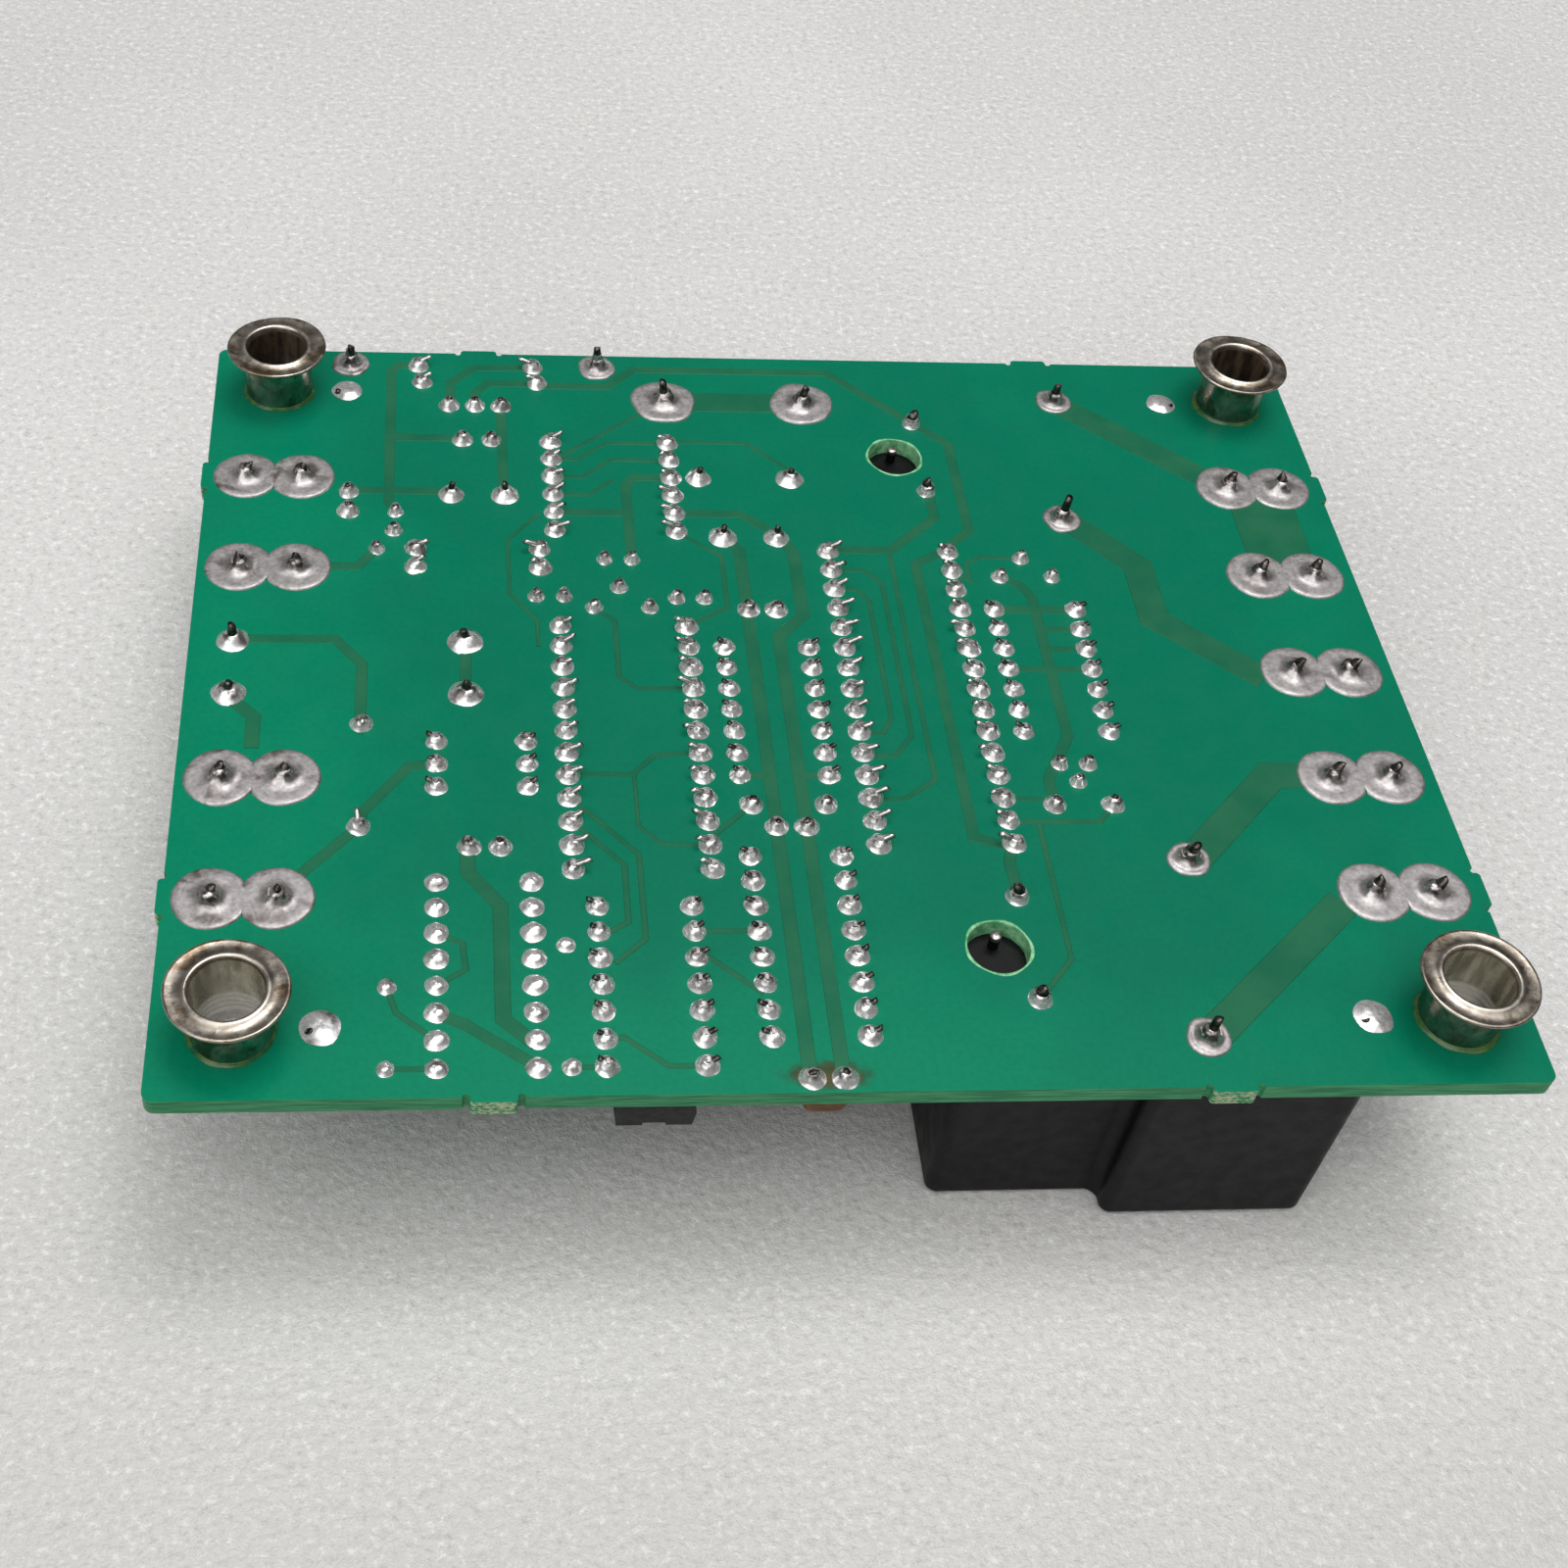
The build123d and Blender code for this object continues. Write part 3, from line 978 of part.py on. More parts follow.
for relay, centre_y in RELAY_CENTRES.items():
    save(make_case(centre_y), f"{relay}_case")
    save(make_base(centre_y), f"{relay}_base")
    save(make_bobbin(centre_y), f"{relay}_bobbin")
    save(make_winding(centre_y), f"{relay}_winding")
    save(make_yoke(centre_y), f"{relay}_yoke")
    save(make_armature(centre_y), f"{relay}_armature")
    save(make_contact_spring(centre_y), f"{relay}_contact_spring")
    save(make_terminals(centre_y), f"{relay}_terminals")
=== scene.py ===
"""Looks for the servo driver board: solder joints, tracks, eyelets and finishes, laid over the
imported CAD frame. Lengths are in metres, in the frame's own axes, unless a name or a comment
says otherwise."""
import json
import math
import random

import bmesh
import bpy
from mathutils import Euler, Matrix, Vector


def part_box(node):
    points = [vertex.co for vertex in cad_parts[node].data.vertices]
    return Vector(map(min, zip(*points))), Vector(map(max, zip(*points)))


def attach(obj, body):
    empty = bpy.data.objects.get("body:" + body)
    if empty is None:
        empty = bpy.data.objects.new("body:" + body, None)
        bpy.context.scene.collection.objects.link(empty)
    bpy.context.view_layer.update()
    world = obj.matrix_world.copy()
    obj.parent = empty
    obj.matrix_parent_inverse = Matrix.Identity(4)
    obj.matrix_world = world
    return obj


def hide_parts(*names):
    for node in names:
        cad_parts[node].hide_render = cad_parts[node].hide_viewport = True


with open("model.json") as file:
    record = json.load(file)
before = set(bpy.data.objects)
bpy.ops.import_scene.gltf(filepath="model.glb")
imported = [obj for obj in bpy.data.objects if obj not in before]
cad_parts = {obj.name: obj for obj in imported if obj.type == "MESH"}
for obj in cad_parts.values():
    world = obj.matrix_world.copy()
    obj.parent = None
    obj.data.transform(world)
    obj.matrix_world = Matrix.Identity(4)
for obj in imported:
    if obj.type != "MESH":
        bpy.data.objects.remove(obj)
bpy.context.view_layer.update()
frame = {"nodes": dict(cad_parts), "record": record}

MM = 0.001
GRID = 2.54 * MM
NIB = 0.45 * MM  # how far the snapped nibs stand out of the board's outline
board_low, board_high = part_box("circuit_board")
SURFACE = board_high.z
UNDERSIDE = board_low.z
FLANGE_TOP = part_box("front_left_eyelet")[1].z


def spot(column, row):
    """The place on the board of a grid position counted from its front left corner."""
    return Vector((board_low.x + NIB + column * GRID, board_low.y + NIB + row * GRID, SURFACE))


def draws_for(place, salt=0):
    """Repeatable random draws that belong to one place on the board."""
    return random.Random(f"{round(place[0] * 1e4)} {round(place[1] * 1e4)} {salt}")


# ---------------- shader building
MIX_COLOUR_A, MIX_COLOUR_B, MIX_COLOUR_OUT = 6, 7, 2  # colour sockets of the Mix node
WAVE_TURN = 20  # radians that the Wave node turns per unit of length and scale


class Shader:
    """A Principled material with short calls for the nodes that its finish is made of."""

    def __init__(self, name, **sockets):
        self.material = bpy.data.materials.new(name)
        self.material.use_nodes = True
        self.tree = self.material.node_tree
        self.surface = self.tree.nodes["Principled BSDF"]
        for socket, value in sockets.items():
            self.surface.inputs[socket.replace("_", " ")].default_value = value
        self.place = self.node("ShaderNodeTexCoord").outputs["Object"]

    def node(self, kind, **settings):
        made = self.tree.nodes.new(kind)
        for setting, value in settings.items():
            setattr(made, setting, value)
        return made

    def link(self, source, target):
        self.tree.links.new(source, target)

    def put(self, target, value):
        if hasattr(value, "is_linked"):
            self.link(value, target)
        else:
            target.default_value = value

    def set(self, socket, source):
        self.link(source, self.surface.inputs[socket])

    def noise(self, size, detail=3.0, rough=0.55, stretch=(1, 1, 1), distort=0.0):
        """Cloudy noise with features of about this size in metres."""
        mapping = self.node("ShaderNodeMapping")
        self.link(self.place, mapping.inputs["Vector"])
        mapping.inputs["Scale"].default_value = stretch
        made = self.node("ShaderNodeTexNoise")
        self.link(mapping.outputs["Vector"], made.inputs["Vector"])
        made.inputs["Scale"].default_value = 1 / size
        made.inputs["Detail"].default_value = detail
        made.inputs["Roughness"].default_value = rough
        made.inputs["Distortion"].default_value = distort
        return made.outputs["Fac"]

    def bands(self, axis, period, distort=0.6):
        """Wavy stripes across one axis, with this period in metres."""
        made = self.node("ShaderNodeTexWave", wave_type="BANDS", bands_direction=axis)
        self.link(self.place, made.inputs["Vector"])
        made.inputs["Scale"].default_value = math.tau / (WAVE_TURN * period)
        made.inputs["Distortion"].default_value = distort
        made.inputs["Detail Scale"].default_value = 1.5
        return made.outputs["Fac"]

    def axis(self, name):
        """One coordinate of the shaded point, in metres."""
        split = self.node("ShaderNodeSeparateXYZ")
        self.link(self.place, split.inputs["Vector"])
        return split.outputs[name]

    def facing(self, name):
        """One part of the surface's own normal."""
        split = self.node("ShaderNodeSeparateXYZ")
        self.link(self.node("ShaderNodeNewGeometry").outputs["Normal"], split.inputs["Vector"])
        return split.outputs[name]

    def away(self, name, middle):
        """How far the shaded point is from a middle, along one axis."""
        return self.math("ABSOLUTE", self.math("SUBTRACT", self.axis(name), middle))

    def math(self, operation, a, b=0.0):
        made = self.node("ShaderNodeMath", operation=operation)
        self.put(made.inputs[0], a)
        self.put(made.inputs[1], b)
        return made.outputs[0]

    def fit(self, value, low, high, to_low=0.0, to_high=1.0):
        """The value carried from one span to another, and held at its ends."""
        made = self.node("ShaderNodeMapRange", interpolation_type="SMOOTHSTEP")
        self.put(made.inputs["Value"], value)
        for socket, number in zip(("From Min", "From Max", "To Min", "To Max"),
                                  (low, high, to_low, to_high)):
            made.inputs[socket].default_value = number
        return made.outputs["Result"]

    def mix(self, factor, a, b):
        """Two colours blended by a factor from 0 to 1."""
        made = self.node("ShaderNodeMix", data_type="RGBA", blend_type="MIX")
        self.put(made.inputs["Factor"], factor)
        self.put(made.inputs[MIX_COLOUR_A], a)
        self.put(made.inputs[MIX_COLOUR_B], b)
        return made.outputs[MIX_COLOUR_OUT]

    def bump(self, height, depth, strength=1.0, under=None):
        """Relief of this depth in metres, over any relief made before."""
        made = self.node("ShaderNodeBump")
        self.link(height, made.inputs["Height"])
        made.inputs["Distance"].default_value = depth
        made.inputs["Strength"].default_value = strength
        if under is not None:
            self.link(under, made.inputs["Normal"])
        self.set("Normal", made.outputs["Normal"])
        return made.outputs["Normal"]


def colour(red, green, blue):
    """A shader colour from the 0 to 255 numbers of a display colour."""
    return (*[((value / 255 + 0.055) / 1.055) ** 2.4 if value > 10 else value / 255 / 12.92
              for value in (red, green, blue)], 1.0)


def mottled(name, dark, light, size, rough=(0.3, 0.5), relief=0.0, grain=None, stretch=(1, 1, 1),
            **sockets):
    """A finish of two cloudy tones, with its roughness and fine relief from noise as well."""
    shader = Shader(name, **sockets)
    clouds = shader.noise(size, detail=4, stretch=stretch)
    shader.set("Base Color", shader.mix(shader.fit(clouds, 0.3, 0.7), dark, light))
    wear = shader.noise(size * 0.37, detail=5, stretch=stretch)
    shader.set("Roughness", shader.fit(wear, 0.25, 0.75, *rough))
    if relief:
        shader.bump(shader.noise(grain or size * 0.1, detail=4, stretch=stretch), relief)
    return shader


def board_colours(shader):
    """The mask's green: brighter near the front left of the outline, where painted light lies, and
    deeper over the middle, partly its own tone and partly painted shade from the shadow under the
    board showing through.
    """
    middle = (board_low + board_high) / 2
    side = shader.fit(shader.away("X", middle.x), 0.022, 0.052)
    end = shader.fit(shader.away("Y", middle.y), 0.024, 0.044)
    rim = shader.math("MAXIMUM", side, end)
    cloud = shader.fit(shader.noise(14 * MM, detail=3), 0.3, 0.7, -0.22, 0.22)
    # painted light: the rim is made brighter towards the front left, and the middle is left darker
    # as painted shade
    diagonal = shader.math("ADD", shader.axis("X"), shader.axis("Y"))
    painted_light = shader.math("MULTIPLY", rim, shader.fit(diagonal, -0.07, 0.05, 1.0, 0.25))
    level = shader.math("ADD", painted_light, cloud)
    tone = shader.mix(shader.fit(level, 0.0, 1.0), colour(0, 109, 82), colour(0, 124, 91))
    speck = shader.fit(shader.noise(0.5 * MM, detail=4), 0.35, 0.7)
    return shader.mix(shader.math("MULTIPLY", speck, 0.22), tone, colour(0, 92, 66))


def mask_relief(shader, ripple=9e-6):
    """Glass weave and the orange peel of the mask over it."""
    weave = shader.math("ADD", shader.bands("X", 0.62 * MM), shader.bands("Y", 0.52 * MM))
    first = shader.bump(weave, 1.6e-6, 0.6)
    shader.bump(shader.noise(1.6 * MM, detail=3), ripple, 0.7, under=first)
    shader.set("Roughness", shader.fit(shader.noise(3 * MM, detail=5), 0.3, 0.7, 0.3, 0.44))


def board_material():
    """Green mask on top and below, laminate layers on the edges, torn glass on the nibs."""
    shader = Shader("board_mask", IOR=1.5, Specular_IOR_Level=0.1)
    mask = board_colours(shader)
    layers = shader.noise(0.18 * MM, detail=3, stretch=(0.05, 0.05, 1))
    core = shader.mix(shader.fit(layers, 0.3, 0.7), colour(34, 112, 74), colour(76, 152, 106))
    steep = shader.fit(shader.math("ABSOLUTE", shader.facing("Z")), 0.4, 0.8)
    skin = shader.mix(steep, core, mask)
    middle = (board_low + board_high) / 2
    out_x = shader.math("SUBTRACT", shader.away("X", middle.x), board_high.x - middle.x - NIB)
    out_y = shader.math("SUBTRACT", shader.away("Y", middle.y), board_high.y - middle.y - NIB)
    broken = shader.math("MAXIMUM", out_x, out_y)
    torn = shader.math("ADD", broken, shader.fit(shader.noise(0.7 * MM, detail=4), 0.2, 0.8,
                                                -0.12 * MM, 0.12 * MM))
    fibres = shader.mix(shader.noise(0.25 * MM, detail=5), colour(112, 150, 96),
                        colour(206, 212, 184))
    strands = shader.fit(shader.noise(0.4 * MM, detail=4, stretch=(1, 1, 2)), 0.44, 0.56)
    bare = shader.math("MULTIPLY", shader.fit(torn, 0.16 * MM, 0.36 * MM),
                       shader.math("MULTIPLY", strands, shader.math("SUBTRACT", 1.0, steep)))
    shader.set("Base Color", shader.mix(bare, skin, fibres))
    mask_relief(shader)
    return shader.material


def track_material():
    """The same mask, darkened by the copper under it."""
    shader = Shader("masked_copper", IOR=1.5, Specular_IOR_Level=0.1)
    tint = shader.mix(shader.fit(shader.noise(5 * MM, detail=4), 0.3, 0.7),
                      colour(26, 88, 62), colour(44, 98, 68))
    shader.set("Base Color", shader.mix(0.72, board_colours(shader), tint))
    mask_relief(shader, 7e-6)
    return shader.material


def solder_material(name, dark, light, film_rough, cone_rough, **sockets):
    """Tin-lead: satin where it lies flat, brighter where it climbs the leads, with painted dark
    reflections streaked over the top of the climb.
    """
    shader = Shader(name, **sockets)
    grains = shader.noise(0.35 * MM, detail=5)
    tone = shader.mix(shader.fit(grains, 0.3, 0.7), dark, light)
    smoke = shader.noise(2.2 * MM, detail=3, distort=0.5)
    left = shader.fit(shader.axis("X"), -0.02, -0.032, 0.5, 0.95)
    smudge = shader.math("MULTIPLY", shader.fit(smoke, 0.52, 0.72), left)
    tone = shader.mix(smudge, tone, colour(108, 100, 96))
    climb = shader.fit(shader.axis("Z"), SURFACE + 0.12 * MM, SURFACE + 0.6 * MM)
    # painted reflection: the top of each climb is streaked darker, as dark reflected facets
    streaks = shader.fit(shader.noise(0.55 * MM, detail=3, stretch=(1, 1, 0.3)), 0.42, 0.58)
    steep = shader.fit(shader.axis("Z"), SURFACE + 0.5 * MM, SURFACE + 0.82 * MM, 0.0, 0.9)
    tone = shader.mix(shader.math("MULTIPLY", steep, streaks), tone, colour(70, 66, 64))
    shader.set("Base Color", tone)
    patch = shader.fit(shader.noise(0.6 * MM, detail=4), 0.3, 0.7, -0.07, 0.09)
    level = shader.math("ADD", shader.fit(climb, 0, 1, film_rough, cone_rough), patch)
    shader.set("Roughness", level)
    shader.bump(shader.noise(0.22 * MM, detail=4), 1.1e-5, 0.8)
    return shader.material


def eyelet_material():
    """Tarnished nickel: brown stains, a worn lip, and a dull bore with painted light in the front
    stand-offs, brightest low down, and painted shade in the back ones, where it is darkest.
    """
    shader = Shader("eyelet_nickel")
    cloud = shader.noise(1.8 * MM, detail=5)
    tone = shader.mix(shader.fit(cloud, 0.3, 0.7), colour(128, 119, 108), colour(182, 174, 163))
    stain = shader.noise(3.6 * MM, detail=6, rough=0.65, distort=0.8)
    tone = shader.mix(shader.fit(stain, 0.5, 0.64, 0, 0.85), tone, colour(108, 88, 66))
    specks = shader.noise(0.5 * MM, detail=3)
    tone = shader.mix(shader.fit(specks, 0.66, 0.74, 0, 0.7), tone, colour(84, 68, 52))
    worn = shader.fit(shader.axis("Z"), FLANGE_TOP - 0.16 * MM, FLANGE_TOP - 0.02 * MM, 0, 0.75)
    tone = shader.mix(worn, tone, colour(200, 193, 182))
    centre = sum(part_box("back_right_eyelet"), Vector()) / 2
    offsets = [shader.math("SUBTRACT", shader.away(name, 0.0), middle)
               for name, middle in (("X", centre.x), ("Y", centre.y))]
    squares = [shader.math("MULTIPLY", part, part) for part in offsets]
    reach = shader.math("SQRT", shader.math("ADD", *squares))
    inside = shader.math("MULTIPLY", shader.fit(reach, 2.98 * MM, 2.86 * MM),
                         shader.fit(shader.axis("Z"), FLANGE_TOP - 0.15 * MM,
                                    FLANGE_TOP - 0.7 * MM))
    streak = shader.noise(0.9 * MM, detail=5, stretch=(1, 1, 0.16))
    # the bore's two tones are painted light and painted shade of one tarnished metal
    painted_light = shader.mix(shader.fit(streak, 0.38, 0.62), colour(122, 118, 98), colour(170, 166, 146))
    painted_bore_shade = shader.mix(shader.fit(streak, 0.38, 0.62), colour(46, 38, 30), colour(88, 76, 60))
    # painted light: the front bores are brighter low down
    low = shader.fit(shader.axis("Z"), SURFACE + 1.3 * MM, SURFACE + 0.9 * MM)
    painted_light = shader.mix(low, painted_light, colour(196, 193, 184))
    # the front stand-offs take the painted light, the back ones the painted shade
    bore = shader.mix(shader.fit(shader.axis("Y"), -0.01, 0.01), painted_light, painted_bore_shade)
    shader.set("Base Color", shader.mix(inside, tone, bore))
    shader.set("Metallic", shader.fit(inside, 0.0, 1.0, 1.0, 0.3))
    rough = shader.fit(shader.noise(1.1 * MM, detail=5), 0.3, 0.7, 0.2, 0.42)
    shader.set("Roughness", rough)
    first = shader.bump(shader.noise(0.7 * MM, detail=4), 2.2e-5, 0.8)
    shader.bump(streak, 1.4e-5, 0.5, under=first)
    return shader.material


def floor_material():
    """Pale board with fine grit, its bright specks partly painted glints, and painted shade that
    makes it a little darker towards the front.
    """
    shader = Shader("pale_floor", IOR=1.45)
    patch = shader.noise(0.09, detail=3)
    tone = shader.mix(shader.fit(patch, 0.3, 0.7), colour(201, 200, 199), colour(210, 209, 208))
    grit_and_glints = shader.noise(0.8 * MM, detail=3, rough=0.7)
    tone = shader.mix(shader.fit(grit_and_glints, 0.48, 0.3, 0, 0.7), tone, colour(178, 177, 174))
    # bright specks: pale grit, and partly painted glints off glossy grains
    tone = shader.mix(shader.fit(grit_and_glints, 0.54, 0.68, 0, 0.8), tone, colour(236, 235, 234))
    # painted shade: the floor is darkened towards the front
    tone = shader.mix(shader.fit(shader.axis("Y"), 0.0, -0.12, 0.0, 0.6), tone,
                      colour(172, 171, 168))
    shader.set("Base Color", tone)
    shader.set("Roughness", shader.fit(shader.noise(1.1 * MM, detail=4), 0.3, 0.7, 0.16, 0.42))
    pebbles = shader.noise(0.9 * MM, detail=4, rough=0.66)
    shader.bump(pebbles, 2.6e-4, 0.9)
    return shader.material


def stain_material():
    """Brown flux that fades away from the middle of its patch."""
    shader = mottled("burnt_flux", colour(52, 66, 38), colour(92, 74, 42), 1.2 * MM, (0.3, 0.45),
                     4e-6, 0.9 * MM, IOR=1.5, Specular_IOR_Level=0.2)
    x = shader.math("DIVIDE", shader.math("SUBTRACT", shader.axis("X"), STAIN.x), STAIN_REACH[0])
    y = shader.math("DIVIDE", shader.math("SUBTRACT", shader.axis("Y"), STAIN.y), STAIN_REACH[1])
    distance = shader.math("SQRT", shader.math("ADD", shader.math("MULTIPLY", x, x),
                                               shader.math("MULTIPLY", y, y)))
    cloud = shader.fit(shader.noise(1.4 * MM, detail=3), 0.3, 0.7, -0.14, 0.14)
    shader.set("Alpha", shader.fit(shader.math("ADD", distance, cloud), 0.25, 1.0, 0.9, 0.0))
    return shader.material


STAIN = spot(20.15, 0.62)
STAIN_REACH = (4.2 * MM, 1.55 * MM)
METAL = dict(Metallic=1.0)
GLOSS = dict(IOR=1.5)
FINISHES = {  # two tones, cloud size, roughness span, relief in metres, its grain, settings
    # lead_end: tinned lead ends, with painted shade and dark reflection in their dark tones
    "lead_end": ((44, 40, 38), (104, 98, 94), 0.5, (0.2, 0.42), 8e-6, 0.12, METAL),
    "clinched_end": ((158, 152, 150), (216, 212, 210), 0.6, (0.18, 0.36), 8e-6, 0.12, METAL),
    "flux": ((16, 84, 50), (74, 108, 48), 0.8, (0.08, 0.25), 1e-5, 0.5, GLOSS),
    "bare_laminate": ((70, 150, 96), (150, 206, 160), 0.7, (0.35, 0.5), 8e-6, 0.2, GLOSS),
    "tinned_brass": ((158, 152, 140), (202, 198, 188), 2, (0.26, 0.45), 8e-6, 0.3,
        dict(stretch=(1, 1, 0.2), Metallic=1.0)),
    "moulded_black": ((14, 14, 16), (24, 24, 26), 1.5, (0.42, 0.6), 1.5e-5, 0.12,
        dict(IOR=1.5, Specular_IOR_Level=0.3)),
    "tinned_leads": ((160, 158, 158), (206, 204, 204), 1, (0.2, 0.4), 6e-6, 0.2, METAL),
    "tinned_copper": ((164, 158, 152), (208, 202, 196), 1, (0.2, 0.42), 6e-6, 0.2, METAL),
    "power_resistor_coat": ((86, 104, 84), (108, 126, 100), 1.4, (0.5, 0.72), 2.2e-5, 0.25, GLOSS),
    "resistor_coat": ((190, 160, 116), (208, 180, 136), 1.2, (0.28, 0.42), 1e-5, 0.4, GLOSS),
    "capacitor_sleeve": ((18, 30, 58), (26, 42, 76), 3, (0.22, 0.36), 8e-6, 0.6, dict(IOR=1.48)),
    "bung_rubber": ((24, 23, 22), (38, 36, 34), 1, (0.6, 0.8), 1.6e-5, 0.2, GLOSS),
    "strap_steel": ((150, 150, 148), (190, 190, 188), 2, (0.28, 0.46), 9e-6, 0.2,
        dict(stretch=(1, 0.15, 1), Metallic=1.0)),
    "disc_coat": ((88, 52, 24), (118, 74, 36), 1.3, (0.34, 0.5), 2.4e-5, 0.7,
        dict(IOR=1.5, Specular_IOR_Level=0.25)),
    "heatsink_aluminium": ((156, 158, 160), (188, 190, 192), 2.5, (0.34, 0.5), 9e-6, 0.15,
        dict(stretch=(0.12, 0.12, 1), Metallic=1.0)),
    "zinc_steel": ((150, 150, 144), (196, 194, 182), 1, (0.24, 0.42), 1e-5, 0.2, METAL),
    "relay_case": ((6, 6, 8), (11, 11, 13), 4, (0.4, 0.54), 1.6e-5, 0.16,
        dict(IOR=1.5, Specular_IOR_Level=0.18)),
    "relay_base": ((6, 6, 7), (12, 12, 13), 1, (0.3, 0.5), 1.6e-5, 0.16,
        dict(IOR=1.5, Specular_IOR_Level=0.2)),
    "bobbin_nylon": ((198, 192, 176), (216, 211, 198), 2, (0.4, 0.55), 9e-6, 0.3, GLOSS),
    "copper_wire": ((150, 74, 38), (196, 108, 62), 0.6, (0.25, 0.4), 3e-5, 0.14,
        dict(stretch=(0.1, 0.1, 1), Metallic=1.0)),
    "soft_iron": ((140, 138, 134), (176, 174, 170), 1.5, (0.3, 0.5), 9e-6, 0.2, METAL),
    "spring_bronze": ((168, 122, 66), (198, 152, 92), 1.5, (0.22, 0.36), 6e-6, 0.2,
        dict(stretch=(1, 0.2, 1), Metallic=1.0)),
}
MATERIALS = {
    "laminate": board_material(),
    "masked_copper": track_material(),
    "solder": solder_material("joint_solder", colour(204, 203, 203), colour(232, 231, 231),
                              0.3, 0.17, Metallic=0.75),
    "pad_solder": solder_material("pad_solder", colour(160, 156, 156), colour(188, 183, 183),
                                  0.46, 0.2, Metallic=0.86),
    "eyelet_nickel": eyelet_material(),
    "pale_floor": floor_material(),
    "burnt_flux": stain_material(),
}
for name, (dark, light, size, rough, relief, grain, settings) in FINISHES.items():
    MATERIALS[name] = mottled(name, colour(*dark), colour(*light), size * MM, rough, relief,
                              grain * MM, **settings).material

for part in frame["record"]["subparts"]:
    surface = frame["nodes"][part["node"]].data.materials
    surface.clear()
    surface.append(MATERIALS[part["material_slot"]])


# ---------------- mesh building
def islands(node):
    """Middle and half sizes of each separate solid of a CAD node, in a fixed order."""
    copy = bmesh.new()
    copy.from_mesh(frame["nodes"][node].data)
    bmesh.ops.remove_doubles(copy, verts=copy.verts, dist=1e-7)
    seen = set()
    found = []
    for first in copy.verts:
        if first in seen:
            continue
        seen.add(first)
        waiting = [first]
        low, high = first.co.copy(), first.co.copy()
        while waiting:
            vertex = waiting.pop()
            low = Vector(map(min, low, vertex.co))
            high = Vector(map(max, high, vertex.co))
            for edge in vertex.link_edges:
                other = edge.other_vert(vertex)
                if other not in seen:
                    seen.add(other)
                    waiting.append(other)
        found.append(((low + high) / 2, (high - low) / 2))
    copy.free()
    return sorted(found, key=lambda part: (round(part[0].x, 4), round(part[0].y, 4)))


def add_piece(name, mesh, materials, flat=False):
    """Turns a finished bmesh into a piece of the model that rides on the board."""
    bmesh.ops.recalc_face_normals(mesh, faces=mesh.faces)
    data = bpy.data.meshes.new(name)
    mesh.to_mesh(data)
    mesh.free()
    for polygon in data.polygons:
        polygon.use_smooth = not flat
    for material in materials:
        data.materials.append(material)
    piece = bpy.data.objects.new(name, data)
    bpy.context.scene.collection.objects.link(piece)
    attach(piece, "board")
    return piece


def add_rings(mesh, rings, closed=False, cap_start=False, cap_end=False, paint=0):
    """Quads between rings of points, each ring as long as the next."""
    made = [[mesh.verts.new(point) for point in ring] for ring in rings]
    pairs = list(zip(made, made[1:]))
    if closed:
        pairs.append((made[-1], made[0]))
    for near, far in pairs:
        count = len(near)
        for n in range(count):
            face = mesh.faces.new((near[n], near[(n + 1) % count], far[(n + 1) % count], far[n]))
            face.material_index = paint
    for wanted, ring in ((cap_start, made[0]), (cap_end, made[-1])):
        if wanted:
            centre = mesh.verts.new(sum((vertex.co for vertex in ring), Vector()) / len(ring))
            for n, vertex in enumerate(ring):
                face = mesh.faces.new((vertex, ring[(n + 1) % len(ring)], centre))
                face.material_index = paint


FILM_EDGE = 0.22 * MM  # how far in a film's rounded edge reaches
FILM_SINK = 0.02 * MM  # how far the film's last ring goes into the board
WALL_SINK = 0.03 * MM  # how far the wall round a joint goes into the board
FILLET_SHARES = (0.0, 0.12, 0.28, 0.46, 0.68, 1.0)
FILM_SHARES = (0.3, 0.6, 0.85, 0.96, 1.0)
OUTLINE_WAVE = 0.022  # size of each wave in a joint's outline, in radii
DOUBLE_PAD_WAVE = 0.3  # how much of the outline's wave a double pad keeps
FILLET_SLIDE = 0.08  # how far a fillet's top may lean over, in radii


